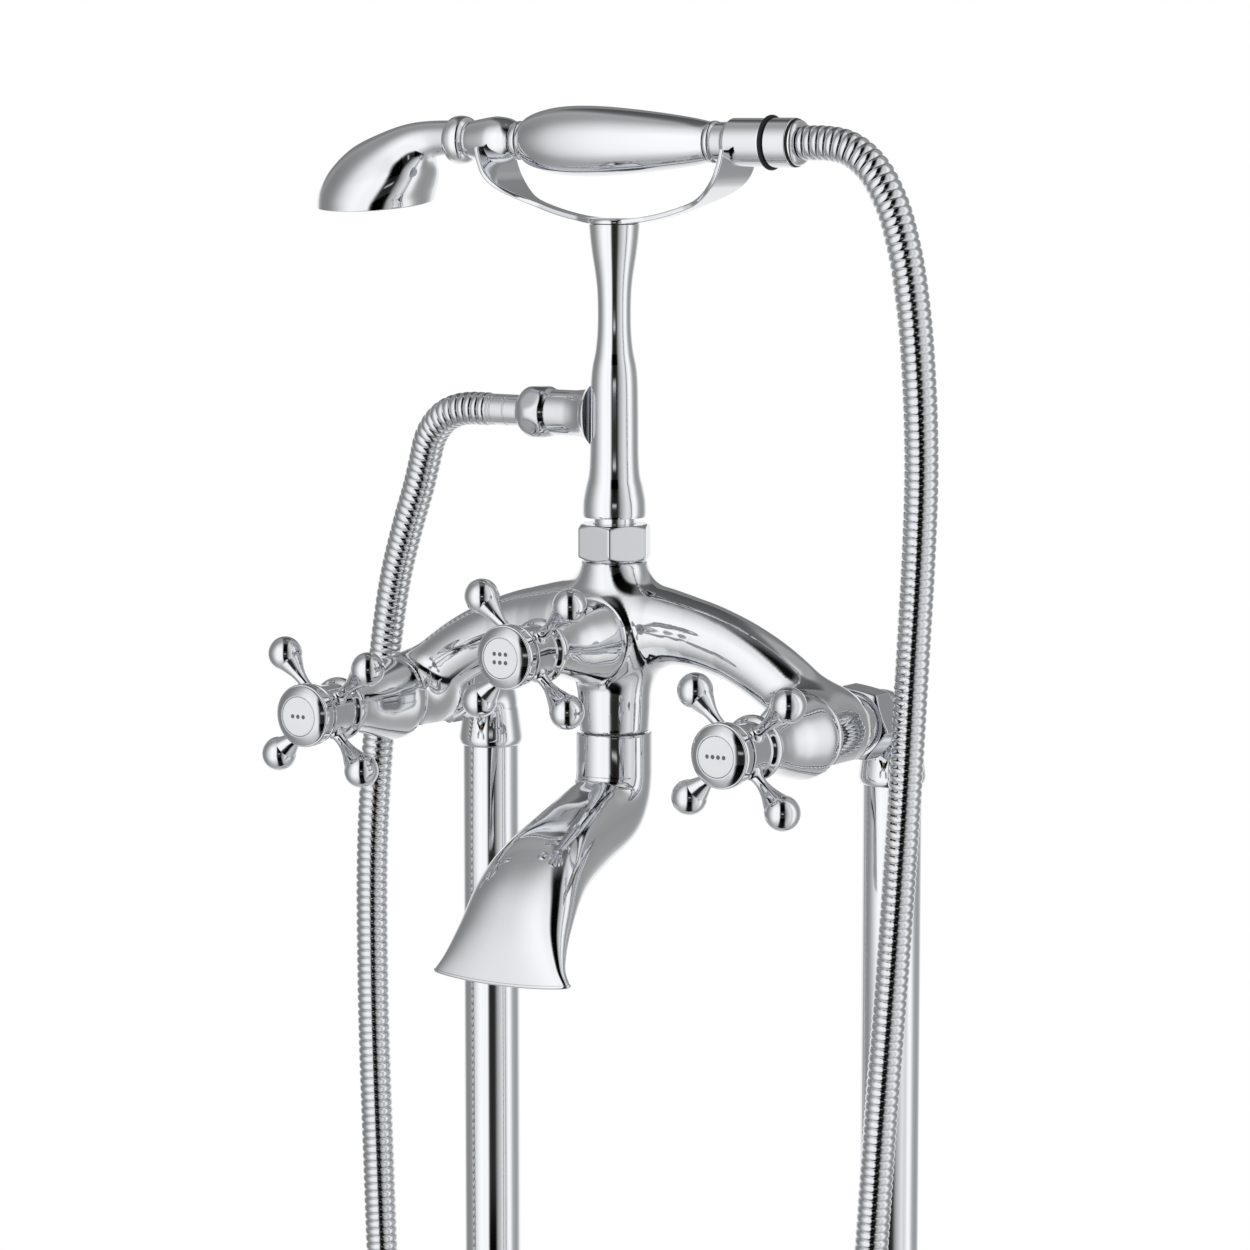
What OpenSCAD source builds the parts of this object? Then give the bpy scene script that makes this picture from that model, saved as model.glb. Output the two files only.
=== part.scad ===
// Freestanding bath and shower mixer on two floor legs, with a cradle,
// a telephone handset and a ribbed metal hose.
// +Z is up, and the origin is on the floor midway between the two legs. The
// bridge stands in front of the legs, and the handles and the spout face -Y.

/* [Legs] */
// Distance between the two leg centres
leg_spacing = 180; // [170:1:200]
// Outer diameter of a leg tube
leg_d = 22; // [21:0.5:24]
// Wall of a leg tube
leg_wall = 1.5; // [1:0.1:2.5]
// How far the middle plane of the bridge stands in front of the legs
leg_setback = 50; // [47:0.5:54]
// Outer diameter of a floor plate
plate_d = 64; // [60:1:70]
// Thickness of a floor plate
plate_t = 5; // [4:0.5:8]
// Distance between the two screw holes of a floor plate
screw_spacing = 46; // [44:1:48]
// Diameter of a screw hole
screw_hole_d = 6; // [4.5:0.5:7]

/* [Bridge] */
// Height of the hot and cold valve axes above the floor
valve_h = 740; // [720:1:760]
// Height of the diverter axis above the valve axes
diverter_rise = 28; // [27:0.5:30]
// Diameter of a bridge arm
arm_d = 26; // [24:0.5:27]
// Diameter of the valve barrel at each end of the bridge
barrel_d = 31; // [30:0.5:33]
// Distance from the bridge plane to the front face of a barrel
barrel_front = 16; // [15:0.5:18]
// Diameter of the boss that carries the column
top_boss_d = 24.4; // [24:0.2:26]

/* [Valves] */
// Radius from a valve axis to the centre of a handle ball
arm_reach = 26.9; // [25:0.1:29]
// Diameter of a handle ball
ball_d = 12.8; // [11:0.2:14]
// Diameter of a handle hub
hub_d = 23.6; // [23:0.2:25]
// Diameter of an index cap
index_d = 22.2; // [20:0.2:22.6]
// Distance from the bridge plane to the face of an index cap
index_front = 74.5; // [74:0.5:78]
// Diameter of the foot of a valve shroud
shroud_d = 31; // [30:0.5:32]

/* [Spout] */
// Outer diameter of the spout tube
spout_d = 28.2; // [27:0.2:28.6]
// Height of the swivel seam below the valve axes
seam_drop = 7.5; // [7:0.5:9]
// Drop from the swivel seam to the lip
spout_drop = 80.5; // [76:0.5:84]
// Reach from the column axis to the middle of the lip
spout_reach = 70.8; // [66:0.2:76]
// Width of the lip
lip_w = 60; // [54:1:64]
// Thickness of the lip, front to back
lip_t = 8; // [7.5:0.5:10]
// Wall of the spout
spout_wall = 1.5; // [1.2:0.1:1.8]

/* [Column and cradle] */
// Height of the column foot above the valve axes
column_rise = 72.5; // [72:0.5:76]
// Height of the column
column_h = 104.5; // [102:0.5:107]
// Diameter of the column foot
column_foot_d = 23.6; // [23:0.2:25]
// Height of the branch above the column foot
branch_rise = 37.5; // [36:0.5:39]
// Diameter of the branch
branch_d = 17; // [16:0.5:18]
// Span of the cradle between the outer faces of its arms
cradle_span = 108; // [104:1:112]
// Width of the cradle, front to back
cradle_w = 24; // [23:0.5:27]
// Thickness of the cradle strap
strap_t = 3.2; // [2.5:0.1:4]
// Diameter of the round seats for the handset
saddle_d = 18.4; // [18.2:0.1:19]

/* [Handset] */
// Height of the handset axis above the top of the column
handset_rise = 33; // [31:0.5:37]
// Diameter of the spray head at its rim
head_d = 46.6; // [44:0.2:50]
// Largest diameter of the grip
grip_d = 25.8; // [24:0.2:28]
// Diameter of the tailpiece
tail_d = 17.4; // [16.6:0.2:18]
// Outer diameter of the hose over its ribs
hose_d = 12.5; // [12:0.5:13]

/* [Hidden] */

// Shared small values
fit = 0.05;
gap = 0.3;
over = 1;
turn_faces = 72;
hole_faces = 32;
small_faces = 24;
edge_r = 0.5;
full_turn = 360;
chrome = "#c9cbcf";
brass = "#b8964c";
rubber = "#1d1e20";
ceramic = "#f2efe8";
nylon = "#e4e2da";

// Derived places
leg_r = leg_d / 2;
column_z = valve_h + column_rise;
hand_z = column_z + column_h + handset_rise;
seam_z = valve_h - seam_drop;
diverter_z = valve_h + diverter_rise;
end_x = leg_spacing / 2;

// Valve stations: x, z, and how far the cross stands turned from square
valve_turn_hot = -5;
valve_turn_cold = -3.5;
valve_turn_diverter = -2;

// Curve helpers
function mix(a, b, t) = a + (b - a) * t;
function bend(a, b, c, d, t) =
    (2 * b + (c - a) * t + (2 * a - 5 * b + 4 * c - d) * t * t
    + (3 * b - a - 3 * c + d) * t * t * t) / 2;
function smooth(p, n) = [
    for (i = [0 : len(p) - 2], k = [0 : n - 1])
        bend(p[max(i - 1, 0)], p[i], p[i + 1], p[min(i + 2, len(p) - 1)], k / n),
    p[len(p) - 1]
];
function scaled(shares, r, h) = [for (s = shares) [s[0] * r, s[1] * h]];
function unit(v) = v / norm(v);
function flip(p) = [for (i = [len(p) - 1 : -1 : 0]) p[i]];

// A turned body: the outline runs from the bottom up, at its true radii
module turned(outline) {
    first = outline[0];
    last = outline[len(outline) - 1];
    rotate_extrude($fn = turn_faces)
        polygon(concat([[0, first[1]]], outline, [[0, last[1]]]));
}

// A disc or tube between two heights, with an optional bore
module ring(r, z0, z1, bore = 0) {
    difference() {
        translate([0, 0, z0]) cylinder(r = r, h = z1 - z0, $fn = turn_faces);
        if (bore > 0)
            translate([0, 0, z0 - over])
                cylinder(r = bore, h = z1 - z0 + 2 * over, $fn = turn_faces);
    }
}

// A six-sided nut with turned corners, a bore and a standing axis
nut_chamfer_share = 0.12;
module hex_nut(flats, h, bore) {
    corner_r = flats / sqrt(3);
    chamfer = h * nut_chamfer_share;
    difference() {
        intersection() {
            cylinder(r = corner_r, h = h, $fn = 6);
            turned([
                [flats / 2, 0], [corner_r - edge_r, chamfer],
                [corner_r - edge_r, h - chamfer], [flats / 2, h]
            ]);
        }
        translate([0, 0, -over]) cylinder(r = bore, h = h + 2 * over, $fn = turn_faces);
    }
}

// Places: a leg's axis, the column's axis, a valve's axis with local +Z to the
// user, its inlet behind it, and the handset's and the branch's own axes
rest_roll = 7;
module at_leg(side) translate([side * end_x, 0, 0]) children();
module at_axis(z) translate([0, -leg_setback, z]) children();
module at_valve(x, z, turn = 0)
    translate([x, -leg_setback, z]) rotate([90, 0, 0]) rotate([0, 0, turn]) children();
module at_inlet(side) at_valve(side * end_x, valve_h) mirror([0, 0, 1]) children();
module at_hot(turn = 0) at_valve(-end_x, valve_h, turn) children();
module at_cold(turn = 0) at_valve(end_x, valve_h, turn) children();
module at_diverter(turn = 0) at_valve(0, diverter_z, turn) children();
module at_handset() at_axis(hand_z) rotate([0, 90, 0]) children();
module at_head() at_axis(hand_z) rotate([rest_roll, 0, 0]) children();
module at_branch() at_axis(column_z + branch_rise) rotate([0, -90, 0]) children();

// Legs and floor fixing
socket_wall = 3;
socket_h = 20;
plate_edge_shares = [[1, 0], [1, 0.55], [0.96, 1]];
module floor_plate(side) color(chrome) at_leg(side) difference() {
    union() {
        turned(scaled(plate_edge_shares, plate_d / 2, plate_t));
        ring(leg_r + socket_wall, 0, socket_h);
    }
    translate([0, 0, -over])
        cylinder(r = leg_r + fit, h = socket_h + 2 * over, $fn = turn_faces);
    for (end = [-1, 1])
        translate([0, end * screw_spacing / 2, -over])
            cylinder(d = screw_hole_d, h = plate_t + 2 * over, $fn = hole_faces);
}

cover_side = 4;
cover_h = 34;
cover_wall = 1.4;
cover_d = plate_d + 2 * cover_side;
cover_collar_r = leg_r + socket_wall + cover_side;
cover_shares = [
    [1, 0], [1, 0.12], [0.985, 0.2], [0.93, 0.3], [0.8, 0.42], [0.66, 0.5],
    [0.58, 0.58], [0.55, 0.68]
];
cover_collar_share = 0.72;
ring_w = 3;
ring_t = 1.6;
ring_seat = cover_h - ring_w - cover_wall;
function cover_outline(inset) = concat(
    scaled(smooth(cover_shares, 4), cover_d / 2 - inset, cover_h),
    [[cover_collar_r - inset, cover_h * cover_collar_share], [cover_collar_r - inset, cover_h - inset]]);
module floor_cover(side) color(chrome) at_leg(side) translate([0, 0, gap]) difference() {
    turned(cover_outline(0));
    difference() {
        translate([0, 0, -fit]) turned(cover_outline(cover_wall));
        ring(cover_collar_r, ring_seat - cover_wall, cover_h);
    }
    translate([0, 0, cover_h / 2])
        cylinder(r = leg_r + gap, h = cover_h, $fn = turn_faces);
    translate([0, 0, ring_seat]) cylinder(r = leg_r + ring_t, h = ring_w, $fn = turn_faces);
}
module cover_ring(side) color(rubber) at_leg(side) translate([0, 0, gap])
    ring(leg_r + ring_t - fit, ring_seat + fit, ring_seat + ring_w - fit, leg_r + fit);

// Legs, elbows and the unions that join them to the valve barrels
elbow_r = 10.6;
elbow_bend_r = 10.8;
elbow_bore_r = 7;
skirt_r = 12.9;
skirt_drop = 26;
skirt_h = 15;
socket_depth = 8;
skirt_shares = [[0.875, 0], [1, 0.1], [1, 0.35], [0.93, 0.45], [0.85, 0.85], [0.82, 1]];
skirt_z = valve_h - skirt_drop;
leg_top = skirt_z + socket_depth;
module leg(side) color(chrome) at_leg(side) ring(leg_r, 0, leg_top, leg_r - leg_wall);

thread_r = 10;
nut_flats = 25;
nut_front = 20;
nut_h = 12;
nut_lip = 3;
spigot_len = 5;
washer_t = 1.5;
flange_t = 2;
flange_r = 9.4;
neck_r = 7.8;
spigot_end = nut_front + spigot_len;
tail_z = spigot_end + washer_t;
// The quarter bend from the leg's axis to the valve's axis
module elbow_turn(side, r)
    at_leg(side) translate([0, -elbow_bend_r, valve_h - elbow_bend_r])
        rotate([90, 0, 90]) rotate_extrude(angle = 90, $fn = turn_faces)
            translate([elbow_bend_r, 0]) circle(r = r, $fn = turn_faces);
module elbow(side) color(chrome) difference() {
    union() {
        at_leg(side) translate([0, 0, skirt_z]) turned(scaled(skirt_shares, skirt_r, skirt_h));
        at_leg(side) ring(elbow_r, skirt_z + skirt_h, valve_h - elbow_bend_r);
        elbow_turn(side, elbow_r);
        at_inlet(side) {
            ring(elbow_r, nut_front + nut_h + gap, leg_setback - elbow_bend_r);
            ring(neck_r, tail_z, nut_front + nut_h + over);
            ring(flange_r, tail_z, tail_z + flange_t);
        }
    }
    elbow_turn(side, elbow_bore_r);
    at_leg(side) ring(elbow_bore_r, skirt_z - over, valve_h - elbow_bend_r);
    at_leg(side) ring(leg_r + fit, skirt_z - over, leg_top + fit);
    at_inlet(side) ring(elbow_bore_r, tail_z - over, leg_setback - elbow_bend_r);
}
module union_nut(side) color(chrome) at_inlet(side) translate([0, 0, nut_front]) difference() {
    rotate([0, 0, 30]) hex_nut(nut_flats, nut_h, neck_r + gap);
    ring(thread_r + fit, -over, nut_h - nut_lip);
}
module union_washers() color(rubber) for (side = [-1, 1]) at_inlet(side)
    ring(flange_r, spigot_end + fit, tail_z - fit, elbow_bore_r);
check_valve_r = 5.8;
check_valve_len = 12;
check_valve_bore = 3;
module check_valves() color(nylon) for (side = [-1, 1]) at_inlet(side)
    ring(check_valve_r, spigot_end - check_valve_len - over, spigot_end - over, check_valve_bore);

// Mixer body: hub, arms, barrels and bosses, with the waterways
hub_shares = [
    [0.6, 0], [0.615, 0.1], [0.68, 0.19], [0.75, 0.27], [0.865, 0.37], [0.965, 0.46],
    [1, 0.54], [0.965, 0.64], [0.85, 0.76], [0.755, 0.85], [0.675, 0.925]
];
hub_r = 22;
hub_half = barrel_front - 2 * fit;
hub_top = 56.5;
hub_h = hub_top + seam_drop - gap;
hub_outline = concat(scaled(hub_shares, hub_r, hub_h), [[top_boss_d / 2, hub_h]]);
boss_thread_h = 7.8;
// An arm is an arc: its angles are measured at the arc's centre, from upright
arm_arc_r = 190;
arm_mid = 16;
arm_from = 4;
arm_to = 40;
arm_mid_x = 20;
arm_mid_rise = 36.5;
arc_x = arm_mid_x - arm_arc_r * sin(arm_mid);
arc_z = valve_h + arm_mid_rise - arm_arc_r * cos(arm_mid);
module bridge_arm(side, r, from, to) mirror([side < 0 ? 1 : 0, 0, 0])
    translate([arc_x, -leg_setback, arc_z]) rotate([90, 0, 0]) rotate([0, 0, 90 - to])
        rotate_extrude(angle = to - from, $fn = 4 * turn_faces)
            translate([arm_arc_r, 0]) circle(r = r, $fn = turn_faces);
barrel_back = 9;
barrel_back_shares = [[0.7, -1.3], [0.8, -1.24], [0.92, -1], [0.985, -0.6], [1, 0]];
barrel_front_shares = [[1, 0.95], [0.98, 1]];
barrel_outline = concat(
    scaled(barrel_back_shares, barrel_d / 2, barrel_back),
    scaled(barrel_front_shares, barrel_d / 2, barrel_front)
);
boss_r = 15.5;
collar_r = 11.2;
// Bores: the waterways, the three cartridges and the socket of the spout
water_r = 6;
water_from = 8;
water_to = 32;
cartridge_r = 8.2;
cartridge_floor = -2;
spigot_r = 10;
spigot_top = 24;
bush_t = 1.2;
bush_h = 10;
groove_rise = 17;
groove_w = 4.4;
groove_depth = 1.5;
spout_screw_r = 2;
spout_screw_len = 6;
module mixer_body() color(chrome) difference() {
    union() {
        at_axis(seam_z + gap) intersection() {
            turned(smooth(hub_outline, 4));
            translate([-hub_r, -hub_half, 0]) cube([2 * hub_r, 2 * hub_half, hub_h]);
        }
        at_axis(valve_h + hub_top) ring(thread_r, -over, boss_thread_h);
        at_diverter() ring(boss_r, 0, barrel_front);
        for (side = [-1, 1]) {
            bridge_arm(side, arm_d / 2, arm_from, arm_to);
            at_valve(side * end_x, valve_h) turned(barrel_outline);
            at_inlet(side) {
                ring(collar_r, barrel_back, nut_front - gap);
                ring(thread_r, nut_front - over, spigot_end);
            }
        }
    }
    for (side = [-1, 1]) {
        bridge_arm(side, water_r, water_from, water_to);
        at_valve(side * end_x, valve_h) ring(cartridge_r + fit, cartridge_floor, barrel_front + over);
        at_inlet(side) ring(water_r, 0, spigot_end + over);
    }
    at_diverter() ring(cartridge_r + fit, cartridge_floor, barrel_front + over);
    at_axis(seam_z) {
        ring(spigot_r + bush_t + 2 * fit, -over, bush_h + gap);
        ring(spigot_r + 2 * fit, -over, spigot_top + over);
    }
    at_axis(valve_h) ring(water_r, 0, hub_top + boss_thread_h + over);
    at_axis(seam_z + groove_rise) rotate([-90, 0, 0]) ring(spout_screw_r + fit, 0, hub_r + over);
}

// Valve parts, all in the valve's own frame with +Z to the user
flange_h = 2.4;
cartridge_flange_r = 10.5;
cartridge_neck_r = 7;
cartridge_neck_end = 45;
chamber_r = 7;
cartridge_base_t = 1.3;
cartridge_back = cartridge_floor + 2 * fit;
seat_z = cartridge_back + cartridge_base_t;
chamber_end = 8;
port_r = 3;
shaft_r = 4;
shaft_end = 64;
drive_r = 6.5;
disc_t = 2;
disc_r = 6.8;
module cartridge() difference() {
    union() {
        ring(cartridge_r, cartridge_back, barrel_front);
        ring(cartridge_flange_r, barrel_front + fit, barrel_front + flange_h);
        ring(cartridge_neck_r, barrel_front, cartridge_neck_end);
    }
    ring(chamber_r, seat_z, chamber_end);
    ring(port_r, cartridge_back - over, seat_z + over);
    ring(shaft_r + fit, chamber_end - over, cartridge_neck_end + over);
}
disc_port_r = 2.4;
disc_port_off = 3.4;
module ceramic_disc() difference() {
    ring(disc_r, seat_z + fit, seat_z + disc_t);
    translate([0, disc_port_off, 0]) ring(disc_port_r, seat_z - over, seat_z + disc_t + over);
}
drum_port_w = 3;
drum_port_angle = 130;
drum_port_in_r = 2.6;
module drum() difference() {
    ring(disc_r, seat_z + fit, seat_z + disc_t);
    translate([0, 0, seat_z - over]) rotate_extrude(angle = drum_port_angle, $fn = turn_faces)
        translate([drum_port_in_r, 0]) square([drum_port_w, disc_t + 2 * over]);
}
screw_r = 1.5;
screw_len = 10;
screw_head_r = 3.8;
screw_head_h = 2.4;
module spindle() difference() {
    union() {
        ring(drive_r, seat_z + disc_t + fit, chamber_end - gap);
        ring(shaft_r, seat_z + disc_t + over, shaft_end);
    }
    ring(screw_r + fit, shaft_end - screw_len, shaft_end + over);
}

shroud_end = 46.5;
shroud_wall = 1.5;
shroud_shares = [
    [1, 0], [1, 0.07], [0.97, 0.12], [0.9, 0.24], [0.82, 0.4], [0.73, 0.56],
    [0.66, 0.72], [0.63, 0.86], [0.62, 0.96], [0.59, 1]
];
shroud_collar = 5;
function shroud_outline(inset) =
    smooth(scaled(shroud_shares, shroud_d / 2 - inset, shroud_end - barrel_front - fit), 3);
module shroud() difference() {
    translate([0, 0, barrel_front + fit]) turned(shroud_outline(0));
    difference() {
        translate([0, 0, barrel_front - over]) turned(shroud_outline(shroud_wall));
        ring(cartridge_neck_r + shroud_collar, shroud_end - shroud_collar, shroud_end + over);
    }
    ring(cartridge_neck_r + fit, barrel_front, shroud_end + over);
}

hub_back = 48;
hub_front = 72.5;
ball_plane = 59.5;
hub_edge_shares = [
    [0.84, 0], [0.97, 0.02], [1, 0.06], [1, 0.15], [0.95, 0.19], [0.9, 0.22],
    [0.9, 0.66], [0.94, 0.69], [0.94, 0.73], [0.88, 0.755], [0.88, 0.785],
    [0.96, 0.81], [1, 0.85], [1, 0.96], [0.98, 1]
];
neck_end_r = 4.7;
arm_shares = [[0.72, 0.3], [0.55, 0.4], [0.43, 0.48], [0.45, 0.57], [0.6, 0.67], [0.8, 0.76], [1, 0.84]];
head_seat = 67;
cap_pin_r = 4.9;
cap_seat = head_seat + screw_head_h + gap;
module handle() difference() {
    union() {
        translate([0, 0, hub_back]) turned(scaled(hub_edge_shares, hub_d / 2, hub_front - hub_back));
        for (k = [0 : 3]) rotate([0, 0, 45 + 90 * k]) translate([0, 0, ball_plane]) rotate([0, 90, 0]) {
            turned(smooth(scaled(arm_shares, neck_end_r, arm_reach), 3));
            translate([0, 0, arm_reach]) sphere(d = ball_d, $fn = turn_faces);
        }
    }
    ring(shaft_r + fit, hub_back - over, shaft_end + fit);
    ring(screw_r + 2 * gap, shaft_end - over, hub_front);
    ring(cap_pin_r + fit, head_seat, hub_front + over);
}
module handle_screw() {
    ring(screw_r, shaft_end - screw_len + over, head_seat + over);
    ring(screw_head_r, head_seat + fit, head_seat + screw_head_h);
}
index_edge_shares = [[0.96, 0], [1, 0.2], [1, 0.6], [0.97, 0.85], [0.85, 0.95], [0.5, 1]];
module index_cap() {
    translate([0, 0, hub_front + fit])
        turned(scaled(index_edge_shares, index_d / 2, index_front - hub_front - fit));
    ring(cap_pin_r, cap_seat, hub_front + over);
}

// Spout: a round tube that flattens and widens into a fishtail.
// Each station is [reach, drop, tilt of the flow below level, share of the way
// from tube to lip in width, and the same in thickness]
spout_station_shares = [
    [0, 0.19, 90, 0, 0], [0.03, 0.29, 65, 0, 0.03], [0.15, 0.385, 38, 0, 0.14],
    [0.39, 0.48, 22, 0.03, 0.32], [0.63, 0.575, 31, 0.15, 0.42],
    [0.8, 0.68, 45, 0.31, 0.55], [0.935, 0.835, 66, 0.5, 0.73],
    [0.99, 0.945, 82, 0.78, 0.93], [1, 1, 90, 1, 1]
];
spout_sides = 40;
spout_steps = 3;
lip_squareness = 3.4;
spout_r = spout_d / 2;
tube_end = spout_station_shares[0][1] * spout_drop;
ceiling_drop = 3;
function power(v, e) = sign(v) * pow(abs(v), e);
function spout_ring(s, inset) =
    let (
        w = mix(spout_d, lip_w, s[3]) / 2 - inset,
        t = mix(spout_d, lip_t, s[4]) / 2 - inset,
        e = 2 / mix(2, lip_squareness, s[4]),
        y = -s[0] * spout_reach,
        z = seam_z - s[1] * spout_drop
    )
    [for (k = [0 : spout_sides - 1])
        let (a = full_turn * k / spout_sides, u = w * power(cos(a), e), v = t * power(sin(a), e))
        [u, y - v * sin(s[2]), z + v * cos(s[2])]];
function raised(p, z) = [for (q = p) [q[0], q[1], z]];
module loft(rings, sides) {
    count = len(rings);
    polyhedron(
        points = [for (r = rings, p = r) p],
        faces = concat(
            [[for (k = [0 : sides - 1]) k]],
            [for (i = [0 : count - 2], k = [0 : sides - 1]) let (m = (k + 1) % sides)
                [i * sides + k, (i + 1) * sides + k, (i + 1) * sides + m, i * sides + m]],
            [[for (k = [sides - 1 : -1 : 0]) (count - 1) * sides + k]]
        ),
        convexity = 4
    );
}
spout_path = smooth(spout_station_shares, spout_steps);
spout_skin = [for (s = spout_path) spout_ring(s, 0)];
spout_room = [for (s = spout_path) spout_ring(s, spout_wall)];
module spout_form() difference() {
    loft(concat(
        [raised(spout_ring(spout_path[0], edge_r), seam_z), raised(spout_skin[0], seam_z - edge_r)],
        spout_skin
    ), spout_sides);
    loft(concat(
        [raised(spout_room[0], seam_z - ceiling_drop)], spout_room,
        [raised(spout_room[len(spout_room) - 1], seam_z - spout_drop - over)]
    ), spout_sides);
}
oring_r = 0.7;
oring_rise_shares = [0.525, 0.9];
spigot_bore_r = 7.5;
module spout() color(chrome) difference() {
    union() {
        at_axis(0) spout_form();
        at_axis(seam_z) ring(spigot_r, -over, spigot_top);
    }
    at_axis(seam_z) {
        ring(spigot_bore_r, -ceiling_drop - over, spigot_top + over);
        ring(spigot_r + over, groove_rise - groove_w / 2, groove_rise + groove_w / 2, spigot_r - groove_depth);
        for (share = oring_rise_shares) let (rise = share * spigot_top)
            ring(spigot_r + over, rise - oring_r - fit, rise + oring_r + fit, spigot_r - 2 * oring_r);
    }
}
module spout_orings() color(rubber) for (share = oring_rise_shares)
    at_axis(seam_z + share * spigot_top) rotate_extrude($fn = turn_faces)
        translate([spigot_r - oring_r + fit, 0]) circle(r = oring_r, $fn = small_faces);
module spout_bush() color(nylon) at_axis(seam_z)
    ring(spigot_r + bush_t + fit, fit, bush_h, spigot_r + fit);
screw_tip = spigot_r - groove_depth + gap;
module spout_screw() color(brass) at_axis(seam_z + groove_rise) rotate([-90, 0, 0])
    ring(spout_screw_r, screw_tip, screw_tip + spout_screw_len);

straightener_r = spout_r - spout_wall - gap;
straightener_h = 5;
straightener_hole_r = 1.5;
straightener_rows = [1, 6, 12];
straightener_step = 4.5;
module flow_straightener() color(nylon) at_axis(seam_z - tube_end + over) difference() {
    ring(straightener_r, 0, straightener_h);
    for (row = [0 : len(straightener_rows) - 1], k = [0 : straightener_rows[row] - 1])
        rotate([0, 0, full_turn * k / straightener_rows[row]])
            translate([row * straightener_step, 0, -over])
                cylinder(r = straightener_hole_r, h = straightener_h + 2 * over, $fn = small_faces);
}

// Column: a turned baluster with the hose outlet as its branch
column_nut_h = 12.5;
column_nut_flats = 25;
column_nut_turn = -5;
column_lip = 1.7;
column_flange_t = 1.7;
column_neck_r = 7.6;
column_bore_r = 5;
washer_z = valve_h + hub_top + boss_thread_h;
flange_z = washer_z + washer_t;
column_shares = [
    [0.98, 0], [1, 0.015], [0.985, 0.06], [0.9, 0.11], [0.815, 0.15], [0.775, 0.22],
    [0.765, 0.36], [0.75, 0.47], [0.7, 0.53], [0.6, 0.585], [0.54, 0.65],
    [0.527, 0.72], [0.545, 0.79], [0.6, 0.85], [0.7, 0.92], [0.76, 0.97], [0.785, 1]
];
branch_len = 26;
branch_shares = [[1.45, 0.26], [1.22, 0.36], [1.08, 0.48], [1.01, 0.62], [1, 0.75], [1, 1]];
outlet_thread_r = 7.6;
outlet_thread_h = 7;
cradle_screw_r = 2.5;
cradle_screw_len = 16;
cradle_base = column_z + column_h;
module column_nut() color(chrome)
    at_axis(valve_h + hub_top + gap) rotate([0, 0, column_nut_turn]) difference() {
        hex_nut(column_nut_flats, column_nut_h, column_neck_r + gap);
        ring(thread_r + fit, -over, column_nut_h - column_lip);
    }
module column_washer() color(rubber) at_axis(0)
    ring(flange_r, washer_z + fit, flange_z - fit, column_bore_r);
module column() color(chrome) difference() {
    union() {
        at_axis(column_z) turned(smooth(scaled(column_shares, column_foot_d / 2, column_h), 3));
        at_axis(0) {
            ring(column_neck_r, flange_z, column_z + over);
            ring(flange_r, flange_z, flange_z + column_flange_t);
        }
        at_branch() {
            turned(smooth(scaled(branch_shares, branch_d / 2, branch_len), 3));
            ring(outlet_thread_r, branch_len - over, branch_len + outlet_thread_h);
        }
    }
    at_axis(0) ring(column_bore_r, washer_z, column_z + branch_rise);
    at_branch() ring(column_bore_r, 0, branch_len + outlet_thread_h + over);
    at_axis(cradle_base) ring(cradle_screw_r + fit, -cradle_screw_len, over);
}

// Hose outlet on the branch: nut, washer and the smooth ferrule
hose_nut_gap = 0.4;
hose_nut_h = 13.2;
hose_nut_flats = 19;
hose_nut_lip = 2.6;
ferrule_r = 5.85;
ferrule_flange_r = 7.3;
ferrule_flange_t = 1.5;
ferrule_end = 55;
hose_bore_r = 4;
outlet_washer_t = 1.4;
outlet_face = branch_len + outlet_thread_h;
ferrule_seat = outlet_face + outlet_washer_t;
hose_nut_shares = [[0.84, 0], [0.99, 0.16], [1.06, 0.4], [1.06, 0.6], [0.95, 0.84], [0.74, 1]];
module hose_nut_outlet() color(chrome) at_branch() translate([0, 0, branch_len + hose_nut_gap]) difference() {
    intersection() {
        rotate([0, 0, 30]) cylinder(r = hose_nut_flats / sqrt(3), h = hose_nut_h, $fn = 6);
        turned(smooth(scaled(hose_nut_shares, hose_nut_flats / 2, hose_nut_h), 3));
    }
    ring(outlet_thread_r + fit, -over, hose_nut_h - hose_nut_lip);
    ring(ferrule_r + gap, 0, hose_nut_h + over);
}
module outlet_washer() color(rubber) at_branch()
    ring(ferrule_flange_r, outlet_face + fit, ferrule_seat - fit, hose_bore_r);
ferrule_line_shares = [0.836, 0.945, 0.971];
ferrule_line_w = 0.5;
module ferrule_outlet() color(chrome) at_branch() difference() {
    union() {
        ring(ferrule_flange_r, ferrule_seat, ferrule_seat + ferrule_flange_t);
        ring(ferrule_r, ferrule_seat, ferrule_end);
    }
    ring(hose_bore_r, outlet_face, ferrule_end + over);
    for (share = ferrule_line_shares) let (line = share * ferrule_end)
        ring(ferrule_r + over, line, line + ferrule_line_w, ferrule_r - ferrule_line_w / 2);
}

// Cradle: a bowed strap with a round seat at the top of each arm
cradle_shares = [
    [0, 0], [0.22, 0.07], [0.41, 0.165], [0.56, 0.24], [0.713, 0.335], [0.85, 0.46],
    [0.935, 0.61], [0.98, 0.79], [1, 1]
];
strap_rise = 1.5;
horn_top = 0.8;
cradle_boss_h = 3;
cradle_head_r = 3.5;
cradle_head_h = 1.5;
cradle_head_depth = 2;
cradle_h = hand_z - horn_top - cradle_base - strap_rise;
head_floor = cradle_base + strap_rise + strap_t - cradle_head_depth;
cradle_line = smooth(scaled(cradle_shares, cradle_span / 2, cradle_h), 4);
function inner_line(p, t) = [
    for (i = [0 : len(p) - 1])
        let (d = unit(p[min(i + 1, len(p) - 1)] - p[max(i - 1, 0)]))
        p[i] + t * [-d[1], d[0]]
];
module half_strap() polygon(concat(cradle_line, flip(inner_line(cradle_line, strap_t))));
boss_shares = [[0.785, 0], [0.8, 0.5], [0.95, 1]];
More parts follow.
